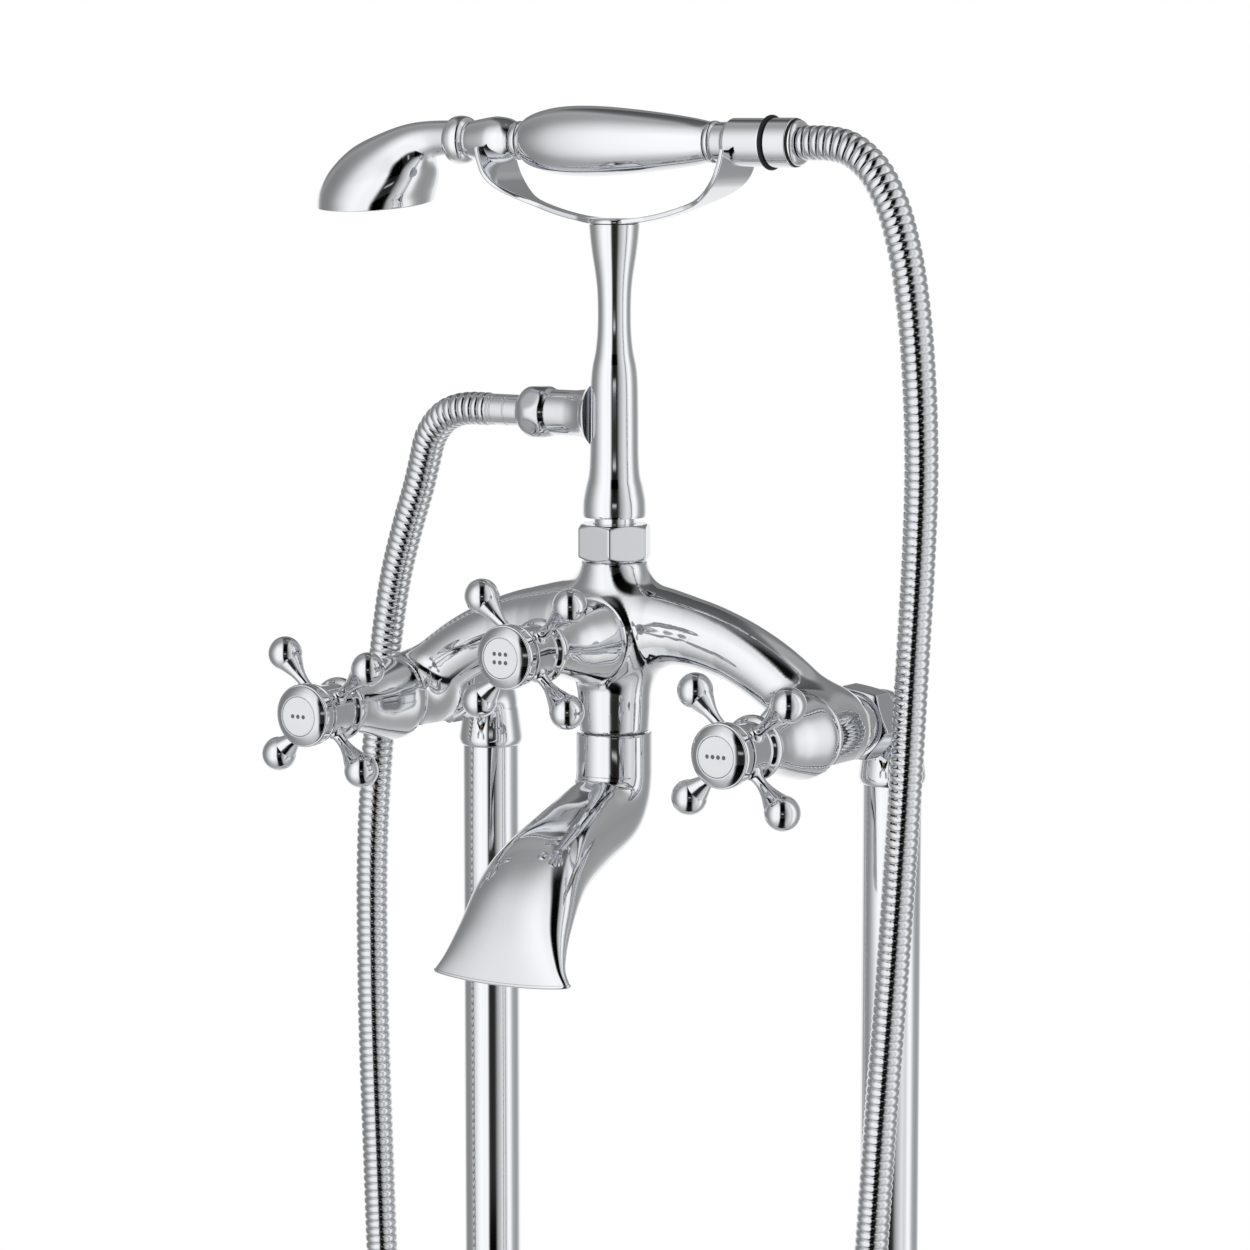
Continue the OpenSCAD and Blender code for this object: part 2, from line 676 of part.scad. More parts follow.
module cradle() color(chrome) difference() {
    union() {
        at_axis(cradle_base + strap_rise) translate([0, cradle_w / 2, 0]) rotate([90, 0, 0])
            linear_extrude(height = cradle_w) {
                half_strap();
                mirror([1, 0]) half_strap();
            }
        at_axis(cradle_base + fit) turned(scaled(boss_shares, column_foot_d / 2, cradle_boss_h));
    }
    at_axis(hand_z) translate([-cradle_span, 0, 0]) rotate([0, 90, 0])
        cylinder(d = saddle_d, h = 2 * cradle_span, $fn = turn_faces);
    at_axis(0) {
        ring(cradle_screw_r + fit, cradle_base - over, hand_z);
        ring(cradle_head_r + fit, head_floor, hand_z);
    }
}
module cradle_screw() color(brass) at_axis(0) {
    ring(cradle_screw_r, cradle_base - cradle_screw_len + over, head_floor + over);
    ring(cradle_head_r, head_floor + fit, head_floor + fit + cradle_head_h);
}

// Handset, turned along X; distances are from the column axis
collar_from = -72;
neck_from = -63.8;
ring_from = -42.8;
grip_from = -39.2;
grip_to = 41.5;
tail_from = 44.7;
tail_to = 66.2;
tail_thread_to = 73;
nut_to = 78.4;
pin_r = 5;
pin_len = 8;
hand_bore_r = 3.6;
bore_past = 30;
neck_max_r = 8.8;
collar_max_r = 9;
collar_shares = [[0.82, 0], [0.96, 0.18], [1, 0.42], [1, 0.62], [0.94, 0.85], [0.8, 1]];
neck_shares = [[0.76, 0], [0.86, 0.18], [0.98, 0.46], [1, 0.62], [0.93, 0.82], [0.78, 0.97], [0.74, 1]];
grip_shares = [
    [0.54, 0], [0.72, 0.04], [0.87, 0.11], [0.965, 0.2], [1, 0.31], [0.975, 0.45],
    [0.89, 0.62], [0.79, 0.77], [0.68, 0.9], [0.59, 0.98], [0.57, 1]
];
tail_shares = [[0.83, 0], [0.84, 0.22], [0.93, 0.26], [1, 0.3], [1, 0.97], [0.97, 1]];
module hand_bore(r = hand_bore_r) ring(r, collar_from - bore_past, nut_to + bore_past);
module handset_collar() color(chrome) at_handset() difference() {
    translate([0, 0, collar_from]) turned(smooth(scaled(collar_shares, collar_max_r, neck_from - collar_from - fit), 3));
    hand_bore(pin_r + fit);
}
module handset_neck() color(chrome) at_handset() difference() {
    union() {
        translate([0, 0, neck_from]) turned(smooth(scaled(neck_shares, neck_max_r, ring_from - neck_from - fit), 3));
        ring(pin_r, collar_from - pin_len, grip_from + pin_len);
    }
    hand_bore();
}
ring_shares = [[0.88, 0], [1, 0.3], [1, 0.7], [0.88, 1]];
front_ring_r = 7.2;
rear_ring_r = 7.7;
module grip_rings() color(chrome) at_handset() difference() {
    union() {
        translate([0, 0, ring_from]) turned(scaled(ring_shares, front_ring_r, grip_from - ring_from - fit));
        translate([0, 0, grip_to + fit]) turned(scaled(ring_shares, rear_ring_r, tail_from - grip_to - 2 * fit));
    }
    hand_bore(pin_r + fit);
}
module handset_grip() color(chrome) at_handset() difference() {
    translate([0, 0, grip_from]) turned(smooth(scaled(grip_shares, grip_d / 2, grip_to - grip_from), 3));
    hand_bore();
    ring(pin_r + fit, grip_from - over, grip_from + pin_len + fit);
    ring(pin_r + fit, grip_to - pin_len - fit, grip_to + over);
}
module handset_tail() color(chrome) at_handset() difference() {
    union() {
        translate([0, 0, tail_from]) turned(scaled(tail_shares, tail_d / 2, tail_to - tail_from));
        ring(pin_r, grip_to - pin_len, tail_from + over);
        ring(outlet_thread_r, tail_to - over, tail_thread_to);
    }
    hand_bore();
}
seal_1_r = 9.6;
seal_2_r = 7.3;
seal_t = 1.4;
module handset_seals() color(rubber) at_handset() {
    ring(seal_1_r, tail_to + fit, tail_to + seal_t, outlet_thread_r + fit);
    ring(seal_2_r, nut_to + fit, nut_to + seal_t, hose_bore_r);
}
hand_nut_r = 9.5;
hand_nut_shares = [[0.96, 0], [1, 0.06], [1, 0.86], [0.93, 0.93], [0.88, 1]];
module hose_nut_handset() color(chrome) at_handset() difference() {
    translate([0, 0, tail_to + seal_t + fit])
        turned(scaled(hand_nut_shares, hand_nut_r, nut_to - tail_to - seal_t - fit));
    ring(outlet_thread_r + fit, tail_to, tail_thread_to + gap);
    ring(hose_bore_r, tail_to, nut_to + over);
}

// Spray head: sections between the back line and the belly line of a bell.
// Each station is [back x, back z, belly x, belly z, half width], in shares of
// the head's length, drop and rim radius
head_len = 59;
head_drop = 27;
head_station_shares = [
    [0, -0.245, 0, 0.245, 0.285], [0.17, -0.25, 0.085, 0.255, 0.3],
    [0.34, -0.235, 0.145, 0.31, 0.37], [0.525, -0.15, 0.186, 0.42, 0.51],
    [0.73, 0.045, 0.203, 0.555, 0.71], [0.89, 0.37, 0.208, 0.7, 0.88],
    [0.98, 0.74, 0.21, 0.86, 0.98], [1, 1, 0.21, 1, 1]
];
head_sides = 40;
head_steps = 3;
function head_ring(s) =
    let (
        back = [collar_from - s[0] * head_len, -s[1] * head_drop],
        belly = [collar_from - s[2] * head_len, -s[3] * head_drop],
        mid = (back + belly) / 2,
        half = (back - belly) / 2,
        w = s[4] * head_d / 2
    )
    [for (k = [0 : head_sides - 1]) let (a = full_turn * k / head_sides, c = mid + half * cos(a))
        [c[0], w * sin(a), c[1]]];
face_x = collar_from - head_len + head_d / 2;
recess_r = 20.6;
recess_h = 5;
chamber_rise = 15;
chamber_r_share = 0.62;
feed_off = 11.7;
feed_x = face_x + feed_off;
module handset_head() color(chrome) at_head() difference() {
    loft([for (s = smooth(head_station_shares, head_steps)) head_ring(s)], head_sides);
    translate([face_x, 0, -head_drop - over]) {
        cylinder(r = recess_r, h = recess_h + over, $fn = turn_faces);
        cylinder(r = recess_r * chamber_r_share, h = chamber_rise, $fn = turn_faces);
    }
    rotate([0, 90, 0]) {
        ring(pin_r + fit, collar_from - pin_len - fit, collar_from + over);
        ring(hand_bore_r, feed_x, collar_from);
    }
    translate([feed_x, 0, -chamber_rise]) cylinder(r = hand_bore_r, h = chamber_rise, $fn = turn_faces);
}
plate_set_back = 0.8;
plate_thick = 3;
nozzle_r = 0.7;
nozzle_rows = [1, 6, 12, 18, 24];
nozzle_step = 4.4;
module spray_plate() color(nylon) at_head() translate([face_x, 0, -head_drop + plate_set_back]) difference() {
    ring(recess_r - 2 * fit, 0, plate_thick);
    for (row = [0 : len(nozzle_rows) - 1], k = [0 : nozzle_rows[row] - 1])
        rotate([0, 0, full_turn * k / nozzle_rows[row]]) translate([row * nozzle_step, 0, -over])
            cylinder(r = nozzle_r, h = plate_thick + 2 * over, $fn = small_faces);
}

// Hose: a ribbed metal tube that hangs in one long loop from the branch to the
// handset. Its knots are measured from the column's axis at the valves' height,
// on the faucet of the default sizes, and they follow it when a height changes
drawn_valve_h = 740;
drawn_branch = 110;
drawn_hand = 210;
hose_start_knots = [
    [-59, 0, 110], [-63, 0, 110], [-70, 0, 109], [-76, 0.5, 106.5], [-81, 1.5, 102.5],
    [-85, 2.5, 97], [-88, 4, 90], [-91.5, 5, 80], [-97.5, 6.5, 65.5], [-105, 8.5, 45],
    [-112, 11, 17], [-118, 14, -18], [-122, 15, -60], [-122.5, 15, -115],
    [-120.5, 15, -185], [-117, 15, -260], [-109, 15, -335], [-94, 15, -404],
    [-67, 15, -463], [-22, 15, -496]
];
hose_end_knots = [
    [24, 15, -488], [60, 15, -442], [80, 15, -380], [92, 15, -306], [99.5, 15, -230],
    [105, 15, -155], [110.5, 15, -85], [115, 14.5, -24], [119, 12.5, 27], [123, 9, 65],
    [126, 5, 96], [127, 1, 127], [125, 0, 153], [121, 0, 174], [115.5, 0, 190],
    [108, 0, 201.5], [99, 0, 208], [88, 0, 210], [84, 0, 210]
];
function placed(knots, reach) = [
    for (p = knots) [p[0], p[1], p[2] * (p[2] < 0 ? valve_h / drawn_valve_h : reach)]
];
hose_route = concat(
    [[-ferrule_end, 0, column_rise + branch_rise]],
    placed(hose_start_knots, (column_rise + branch_rise) / drawn_branch),
    placed(hose_end_knots, (hand_z - valve_h) / drawn_hand),
    [[nut_to + seal_t + fit, 0, hand_z - valve_h]]
);
// The knots stand at uneven steps, so a slope is weighed by the steps beside it
function slope(p, i) =
    i == 0 ? unit(p[1] - p[0])
    : i == len(p) - 1 ? unit(p[i] - p[i - 1])
    : let (a = norm(p[i] - p[i - 1]), b = norm(p[i + 1] - p[i]))
        ((p[i + 1] - p[i]) * a / b + (p[i] - p[i - 1]) * b / a) / (a + b);
function swept(p, i, t) =
    mix(p[i], p[i + 1], t * t * (3 - 2 * t))
    + norm(p[i + 1] - p[i]) * t * (1 - t) * ((1 - t) * slope(p, i) - t * slope(p, i + 1));
hose_steps = 6;
hose_sides = 8;
hose_ribs = 200;
rib_depth = 0.7;
bore_every = 4;
hose_line = [
    for (i = [0 : len(hose_route) - 2], k = [0 : hose_steps - 1]) swept(hose_route, i, k / hose_steps),
    hose_route[len(hose_route) - 1]
];
function run_lengths(p) = [
    for (i = 0, total = 0; i < len(p); total = total + (i < len(p) - 1 ? norm(p[i + 1] - p[i]) : 0), i = i + 1)
        total
];
hose_runs = run_lengths(hose_line);
hose_len = hose_runs[len(hose_runs) - 1];
function seek(s, i) = i >= len(hose_runs) - 2 || hose_runs[i + 1] >= s ? i : seek(s, i + 1);
function along(s) =
    let (i = seek(s, 0), t = (s - hose_runs[i]) / (hose_runs[i + 1] - hose_runs[i]))
    mix(hose_line[i], hose_line[i + 1], t);
hose_rings = 2 * hose_ribs + 1;
hose_points = [for (k = [0 : hose_rings - 1]) along(hose_len * k / (hose_rings - 1))];
function hose_ring(k, r) =
    let (
        d = unit(hose_points[min(k + 1, hose_rings - 1)] - hose_points[max(k - 1, 0)]),
        side = unit(cross(d, [0, 1, 0])),
        other = cross(side, d)
    )
    [for (j = [0 : hose_sides - 1]) let (a = full_turn * j / hose_sides)
        hose_points[k] + r * (cos(a) * side + sin(a) * other)];
module hose() color(chrome) at_axis(valve_h) {
    outer = [for (k = [0 : hose_rings - 1]) hose_ring(k, hose_d / 2 - (k % 2 == 0 ? rib_depth : 0))];
    inner = [for (k = [0 : bore_every : hose_rings - 1]) hose_ring(k, hose_bore_r)];
    outer_count = len(outer);
    inner_count = len(inner);
    base = outer_count * hose_sides;
    last = (outer_count - 1) * hose_sides;
    inner_last = base + (inner_count - 1) * hose_sides;
    polyhedron(
        points = [for (r = concat(outer, inner), p = r) p],
        faces = [for (j = [0 : hose_sides - 1]) let (m = (j + 1) % hose_sides) each concat(
            [for (k = [0 : outer_count - 2]) each [
                [k * hose_sides + j, k * hose_sides + m, (k + 1) * hose_sides + m],
                [k * hose_sides + j, (k + 1) * hose_sides + m, (k + 1) * hose_sides + j]
            ]],
            [for (k = [0 : inner_count - 2]) let (p = base + k * hose_sides, q = p + hose_sides) each [
                [p + m, p + j, q + m], [q + m, p + j, q + j]
            ]],
            [
                [base + j, base + m, m], [base + j, m, j],
                [last + j, last + m, inner_last + m], [last + j, inner_last + m, inner_last + j]
            ]
        )],
        convexity = 10
    );
}

module floor_plate_left() floor_plate(-1);
module floor_plate_right() floor_plate(1);
module floor_cover_left() floor_cover(-1);
module floor_cover_right() floor_cover(1);
module cover_ring_left() cover_ring(-1);
module cover_ring_right() cover_ring(1);
module leg_left() leg(-1);
module leg_right() leg(1);
module elbow_left() elbow(-1);
module elbow_right() elbow(1);
module union_nut_left() union_nut(-1);
module union_nut_right() union_nut(1);
module cartridge_hot() color(brass) at_hot() cartridge();
module cartridge_cold() color(brass) at_cold() cartridge();
module cartridge_diverter() color(brass) at_diverter() cartridge();
module ceramic_disc_hot() color(ceramic) at_hot() ceramic_disc();
module ceramic_disc_cold() color(ceramic) at_cold() ceramic_disc();
module diverter_drum() color(ceramic) at_diverter() drum();
module spindle_hot() color(brass) at_hot() spindle();
module spindle_cold() color(brass) at_cold() spindle();
module spindle_diverter() color(brass) at_diverter() spindle();
module shroud_hot() color(chrome) at_hot() shroud();
module shroud_cold() color(chrome) at_cold() shroud();
module shroud_diverter() color(chrome) at_diverter() shroud();
module handle_hot() color(chrome) at_hot(valve_turn_hot) handle();
module handle_cold() color(chrome) at_cold(valve_turn_cold) handle();
module handle_diverter() color(chrome) at_diverter(valve_turn_diverter) handle();
module handle_screw_hot() color(brass) at_hot() handle_screw();
module handle_screw_cold() color(brass) at_cold() handle_screw();
module handle_screw_diverter() color(brass) at_diverter() handle_screw();
module index_hot() color(ceramic) at_hot() index_cap();
module index_cold() color(ceramic) at_cold() index_cap();
module index_diverter() color(ceramic) at_diverter() index_cap();

floor_plate_left();
floor_plate_right();
floor_cover_left();
floor_cover_right();
cover_ring_left();
cover_ring_right();
leg_left();
leg_right();
elbow_left();
elbow_right();
union_nut_left();
union_nut_right();
union_washers();
check_valves();
mixer_body();
cartridge_hot();
cartridge_cold();
cartridge_diverter();
ceramic_disc_hot();
ceramic_disc_cold();
diverter_drum();
spindle_hot();
spindle_cold();
spindle_diverter();
shroud_hot();
shroud_cold();
shroud_diverter();
handle_hot();
handle_cold();
handle_diverter();
handle_screw_hot();
handle_screw_cold();
handle_screw_diverter();
index_hot();
index_cold();
index_diverter();
spout();
spout_orings();
spout_bush();
spout_screw();
flow_straightener();
column_nut();
column_washer();
column();
cradle();
cradle_screw();
hose_nut_outlet();
outlet_washer();
ferrule_outlet();
hose();
handset_head();
spray_plate();
handset_collar();
handset_neck();
grip_rings();
handset_grip();
handset_tail();
handset_seals();
hose_nut_handset();
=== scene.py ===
import math

import bmesh
import bpy
import numpy as np
from mathutils import Matrix, Vector


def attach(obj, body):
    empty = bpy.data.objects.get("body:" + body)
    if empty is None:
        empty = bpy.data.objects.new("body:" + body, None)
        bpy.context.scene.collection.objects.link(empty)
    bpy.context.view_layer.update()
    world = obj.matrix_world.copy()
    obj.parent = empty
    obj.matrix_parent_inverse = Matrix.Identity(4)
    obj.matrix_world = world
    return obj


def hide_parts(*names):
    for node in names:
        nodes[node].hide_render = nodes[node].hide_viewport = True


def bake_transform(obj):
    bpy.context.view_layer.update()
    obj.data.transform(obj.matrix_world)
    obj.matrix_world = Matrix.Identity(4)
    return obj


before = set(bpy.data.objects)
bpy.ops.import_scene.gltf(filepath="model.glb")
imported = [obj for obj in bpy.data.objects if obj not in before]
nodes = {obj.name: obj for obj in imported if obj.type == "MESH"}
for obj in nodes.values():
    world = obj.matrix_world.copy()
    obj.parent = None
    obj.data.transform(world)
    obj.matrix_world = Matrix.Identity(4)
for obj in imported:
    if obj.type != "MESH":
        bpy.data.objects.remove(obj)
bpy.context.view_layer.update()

# The faucet stands in front of a white sweep, inside a light tent.
# Metres, +Z up, origin on the floor between the two legs, handles to -Y.
MM = 0.001

# Camera
# A long lens, from the right of the front and a little above the valves.
camera_data = bpy.data.cameras.new("camera")
camera_data.sensor_width = 36
camera_data.lens = 126.1
camera = bpy.data.objects.new("camera", camera_data)
camera.location = (0.8731, -1.3986, 0.9709)
camera.rotation_euler = (math.radians(82.95), 0, math.radians(32.78))
bpy.context.scene.collection.objects.link(camera)
bpy.context.scene.camera = camera
bpy.context.scene.view_settings.view_transform = "Standard"


def linear(code):
    """An sRGB hex colour as linear light, with full opacity."""
    parts = [int(code[k:k + 2], 16) / 255 for k in (1, 3, 5)]
    return [p / 12.92 if p <= 0.04045 else ((p + 0.055) / 1.055) ** 2.4 for p in parts] + [1]


def add(tree, kind, settings=(), **links):
    """Adds a node: settings go to its sockets or properties, links to its inputs by name or number."""
    made = tree.nodes.new(kind)
    for key, value in dict(settings).items():
        if hasattr(made, key):
            setattr(made, key, value)
        else:
            made.inputs[key].default_value = value
    for key, source in links.items():
        numbered = key[0] == "i" and key[1:].isdigit()
        target = made.inputs[int(key[1:]) if numbered else key.replace("_", " ")]
        tree.links.new(source, target)
    return made


def new_finish(name):
    """An empty material with its tree, its output and the mesh's own coordinates in metres."""
    finish = bpy.data.materials.new(name)
    finish.use_nodes = True
    tree = finish.node_tree
    tree.nodes.clear()
    output = add(tree, "ShaderNodeOutputMaterial")
    return finish, tree, output, add(tree, "ShaderNodeTexCoord").outputs["Object"]


# Studio
# A white world that the camera and the metal see, a plain grey fill for matt
# surfaces, and one broad lamp from the upper left for the floor's shadow.
world = bpy.data.worlds.new("white sweep")
bpy.context.scene.world = world
world.use_nodes = True
tree = world.node_tree
tree.nodes.clear()
path = add(tree, "ShaderNodeLightPath").outputs
seen = add(tree, "ShaderNodeMath", {"operation": "ADD"}, i0=path["Is Camera Ray"], i1=path["Is Glossy Ray"])
seen = add(tree, "ShaderNodeMath", {"operation": "ADD", "use_clamp": True}, i0=seen.outputs[0],
           i1=path["Is Transmission Ray"])
white = add(tree, "ShaderNodeBackground", {"Color": linear("#FFFFFF"), "Strength": 1})
fill = add(tree, "ShaderNodeBackground", {"Color": linear("#FFFFFF"), "Strength": 0.8})
both = add(tree, "ShaderNodeMixShader", (), Fac=seen.outputs[0], i1=fill.outputs[0], i2=white.outputs[0])
add(tree, "ShaderNodeOutputWorld", (), Surface=both.outputs[0])

lamp_data = bpy.data.lights.new("broad lamp", "AREA")
lamp_data.shape = "DISK"
lamp_data.size = 1.6
lamp_data.energy = 26
lamp = bpy.data.objects.new("broad lamp", lamp_data)
lamp.location = (-1.6, -2.2, 2.6)
lamp.rotation_euler = (Vector((0, 0, 0.6)) - lamp.location).to_track_quat("-Z", "Y").to_euler()
lamp.visible_glossy = False
bpy.context.scene.collection.objects.link(lamp)

# Light tent
# White cloth round the faucet with a black slit where the lens looks in, greyer
# cloth at the sides, a grey back above the white sweep, and a shaded floor cloth.
# Only polished metal shows it. Each row is an angle from the lens, to its right,
# and how bright the cloth is there.
tent_levels = [
    (-180, 1.0), (-150, 1.0), (-146, 0.72), (-140, 0.46), (-128, 0.28), (-116, 0.27), (-106, 0.29),
    (-97, 0.35), (-89, 0.47), (-81, 0.64), (-74, 0.80), (-67, 0.95), (-60, 1.08), (-53, 1.17), (-45, 1.20),
    (-36, 1.15), (-28, 1.15), (-22, 1.17), (-17.5, 0.95), (-13.5, 0.30), (-10, 0.02), (0, 0.005),
    (9, 0.01), (13, 0.03), (17.5, 0.16), (23, 0.36), (28, 0.50), (35, 0.64), (41, 0.78), (47, 0.92), (53, 0.84),
    (60, 0.78), (67, 0.97), (74, 1.17), (81, 1.15), (89, 0.88), (97, 0.52), (106, 0.37),
    (116, 0.34), (128, 0.38), (140, 0.60), (146, 0.80), (150, 1.0), (180, 1.0),
]
tent_radius = 2.4
tent_middle = Vector((0, -0.05, 0.75))
tent_step = 1.5
toward_lens = math.atan2(camera.location.y - tent_middle.y, camera.location.x - tent_middle.x)


def tent_level(angle, rise):
    """How bright the cloth is at an angle from the lens and a rise above the middle, in degrees.

    High behind, the cloth is grey. Towards the top and the floor it evens out. The slit goes
    on as a strip over the top and under the faucet, with a light gap at the lens's own height.
    """
    level = float(np.interp(angle, [a for a, _ in tent_levels], [b for _, b in tent_levels]))
    behind = float(np.interp(abs(angle), [125, 150], [0, 1]))
    level += (0.24 - level) * behind * float(np.interp(rise, [9, 14], [0, 1]))
    level += (0.5 - level) * float(np.interp(rise, [-75, -60, -46, -34, -26, 30, 54, 67, 81, 90],
                                             [1, 0.8, 0.5, 0.16, 0.05, 0, 0.35, 0.6, 0.85, 1]))
    aside = math.degrees(math.asin(math.cos(math.radians(rise)) * math.sin(math.radians(angle))))
    if abs(rise) > 20 and (abs(angle) < 90 or rise > 42):
        faded = float(np.interp(rise, [66, 80], [0, 0.3])) if abs(angle) < 90 else 0.3
        strip = float(np.interp(aside, [-17, -12.5, -9, 9, 13, 18], [1, 0.3, 0.02, 0.02, 0.15, 1]))
        level *= faded + (1 - faded) * strip
    gap = math.exp(-((rise - 3.5) / 2.6) ** 2) * float(np.interp(abs(angle), [6, 9], [1, 0]))
    return level + 0.55 * gap


def cloth_grid(name, rises, place):
    """A cloth of emission whose points lie at angles from the lens and rises above the middle."""
    angles = np.arange(-180, 180.1, tent_step)
    points = [place(toward_lens + math.radians(a), math.radians(r)) for r in rises for a in angles]
    wide = len(angles)
    mesh = bpy.data.meshes.new(name)
    mesh.from_pydata(points, [], [(r * wide + c, r * wide + c + 1, (r + 1) * wide + c + 1, (r + 1) * wide + c)
                                  for r in range(len(rises) - 1) for c in range(wide - 1)])
    mesh.attributes.new("light", "FLOAT", "POINT").data.foreach_set(
        "value", [tent_level(float(a), float(r)) for r in rises for a in angles])
    mesh.materials.append(cloth)
    hung = bpy.data.objects.new(name, mesh)
    bpy.context.scene.collection.objects.link(hung)
    hung.visible_camera = False
    hung.visible_diffuse = False
    hung.visible_shadow = False


cloth, tree, out, _ = new_finish("tent cloth")
light = add(tree, "ShaderNodeAttribute", {"attribute_name": "light"})
glow = add(tree, "ShaderNodeEmission", {"Color": linear("#FFFFFF")}, Strength=light.outputs["Fac"])
tree.links.new(glow.outputs[0], out.inputs["Surface"])
cloth.cycles.emission_sampling = "NONE"


def on_tent(turn, rise):
    """The point of the tent at a turn and a rise in radians."""
    aside = math.cos(rise)
    outward = Vector((aside * math.cos(turn), aside * math.sin(turn), math.sin(rise)))
    return tent_middle + tent_radius * outward


def on_ground(turn, fall):
    """The point of the floor that lies at a turn and a fall, seen from the tent's middle."""
    away = -tent_middle.z / math.tan(fall)
    return Vector((tent_middle.x + away * math.cos(turn), tent_middle.y + away * math.sin(turn), cloth_lift))


tent_foot = -19
tent_rows = 73
cloth_lift = 0.1 * MM
ground_falls = [-18, -20, -22, -24, -27, -30, -34, -38, -43, -48, -54, -60, -67, -75, -83, -89.5]
cloth_grid("light tent", [tent_foot + tent_step * k for k in range(tent_rows)], on_tent)
cloth_grid("floor cloth", ground_falls, on_ground)

# Floor
# A pale painted board, matt, that carries the faucet's soft shadow.
board, tree, out, spot = new_finish("painted board")
grain = add(tree, "ShaderNodeTexNoise", {"Scale": 300, "Detail": 3}, Vector=spot)
rough = add(tree, "ShaderNodeMapRange", {"To Min": 0.75, "To Max": 0.9}, Value=grain.outputs[0])
paint = add(tree, "ShaderNodeBsdfPrincipled", {"Base Color": linear("#F8F8F7"), "Specular IOR Level": 0.1},
            Roughness=rough.outputs[0])
tree.links.new(paint.outputs[0], out.inputs["Surface"])
floor_mesh = bpy.data.meshes.new("floor")
board_r = 1.5
board_sides = 96
turns = [2 * math.pi * k / board_sides for k in range(board_sides)]
floor_mesh.from_pydata([(board_r * math.cos(a), board_r * math.sin(a), 0) for a in turns], [],
                       [tuple(range(board_sides))])
floor_mesh.materials.append(board)
floor = bpy.data.objects.new("floor", floor_mesh)
floor.location.z = -0.2 * MM
bpy.context.scene.collection.objects.link(floor)


# Chrome plate is a mirror with hardly any haze. Hand polishing leaves a ripple a
# few tenths of a micron deep, which the eye sees as soft edges in reflections.
def chrome_plate(name, colour, haze, ripple_mm, depth_mm):
    finish, tree, out, spot = new_finish(name)
    wipe = add(tree, "ShaderNodeTexNoise", {"Scale": 1 / (18 * MM), "Detail": 4, "Roughness": 0.6},
               Vector=spot)
    rough = add(tree, "ShaderNodeMapRange",
                {"From Min": 0.35, "From Max": 0.7, "To Min": haze, "To Max": haze * 2},
                Value=wipe.outputs[0])
    skin = add(tree, "ShaderNodeTexNoise", {"Scale": 1 / (ripple_mm * MM), "Detail": 2}, Vector=spot)
    bump = add(tree, "ShaderNodeBump", {"Strength": 1, "Distance": depth_mm * MM}, Height=skin.outputs[0])
    plate = add(tree, "ShaderNodeBsdfPrincipled", {"Base Color": linear(colour), "Metallic": 1},
                Roughness=rough.outputs[0], Normal=bump.outputs[0])
    tree.links.new(plate.outputs[0], out.inputs["Surface"])
    return finish


def coat(finish, *names):
    """Gives CAD solids of their true form a real finish."""
    for name in names:
        for seat in nodes[name].material_slots:
            seat.material = finish


# Legs and floor plates
# Drawn brass tubes of 22 mm, chrome plated, that stand in turned sockets and are
# screwed to the floor. The part's own solids have their true form.
leg_x = 90
tube_chrome = chrome_plate("chrome plated brass tube", "#E8EAED", 0.035, 9, 0.0006)
coat(tube_chrome, "leg_left", "leg_right", "floor_plate_left", "floor_plate_right")

# Floor covers
# Spun brass bells, chrome plated, over the screws of the floor plates. A rubber
# ring inside grips the leg, so a cover stays up when it is lifted.
cover_edge = [(36, 0.3), (36, 4.4), (35.5, 7.1), (33.5, 10.5), (28.8, 14.6), (23.8, 17.3), (20.9, 20),
              (19.8, 23.4)]


def frame_at(x, y, z, *turns):
    """A place in mm: local +Z turns first about the last named axis."""
    made = Matrix.Translation((x, y, z))
    for axis, degrees in turns:
        made = made @ Matrix.Rotation(math.radians(degrees), 4, axis)
    return np.array(made)


def moved(points, place):
    return np.asarray(points, float) @ place[:3, :3].T + place[:3, 3]


def smooth(points, steps):
    """A curve through evenly spaced points, as in the part's source."""
    p = np.asarray(points, float)
    line = []
    for k in range(len(p) - 1):
        a, b, c, d = p[max(k - 1, 0)], p[k], p[k + 1], p[min(k + 2, len(p) - 1)]
        for t in np.arange(steps) / steps:
            line.append((2 * b + (c - a) * t + (2 * a - 5 * b + 4 * c - d) * t * t
                         + (3 * b - a - 3 * c + d) * t ** 3) / 2)
    return line + [p[-1]]


def soften(outline, r, loop=False):
    """Rounds each corner of an outline, and holds the flats beside it straight."""
    p = [np.asarray(q, float) for q in outline]
    ends = range(len(p)) if loop else range(1, len(p) - 1)
    line = [] if loop else [p[0]]
    for k in ends:
        back, on = p[k - 1] - p[k], p[(k + 1) % len(p)] - p[k]
        a, b = np.linalg.norm(back), np.linalg.norm(on)
        bent = math.degrees(math.acos(np.clip(-(back @ on) / (a * b), -1, 1)))
        if bent < 16:
            line.append(p[k])
            continue
        reach = min(r, 0.4 * a, 0.4 * b)
        hold = min(1.5 * reach, 0.48 * a), min(1.5 * reach, 0.48 * b)
        line.append(p[k] + back / a * hold[0])
        for t in (0, 0.25, 0.5, 0.75, 1):
            line.append((1 - t) ** 2 * (p[k] + back / a * reach) + 2 * t * (1 - t) * p[k]
                        + t * t * (p[k] + on / b * reach))
        line.append(p[k] + on / b * hold[1])
    return line if loop else line + [p[-1]]


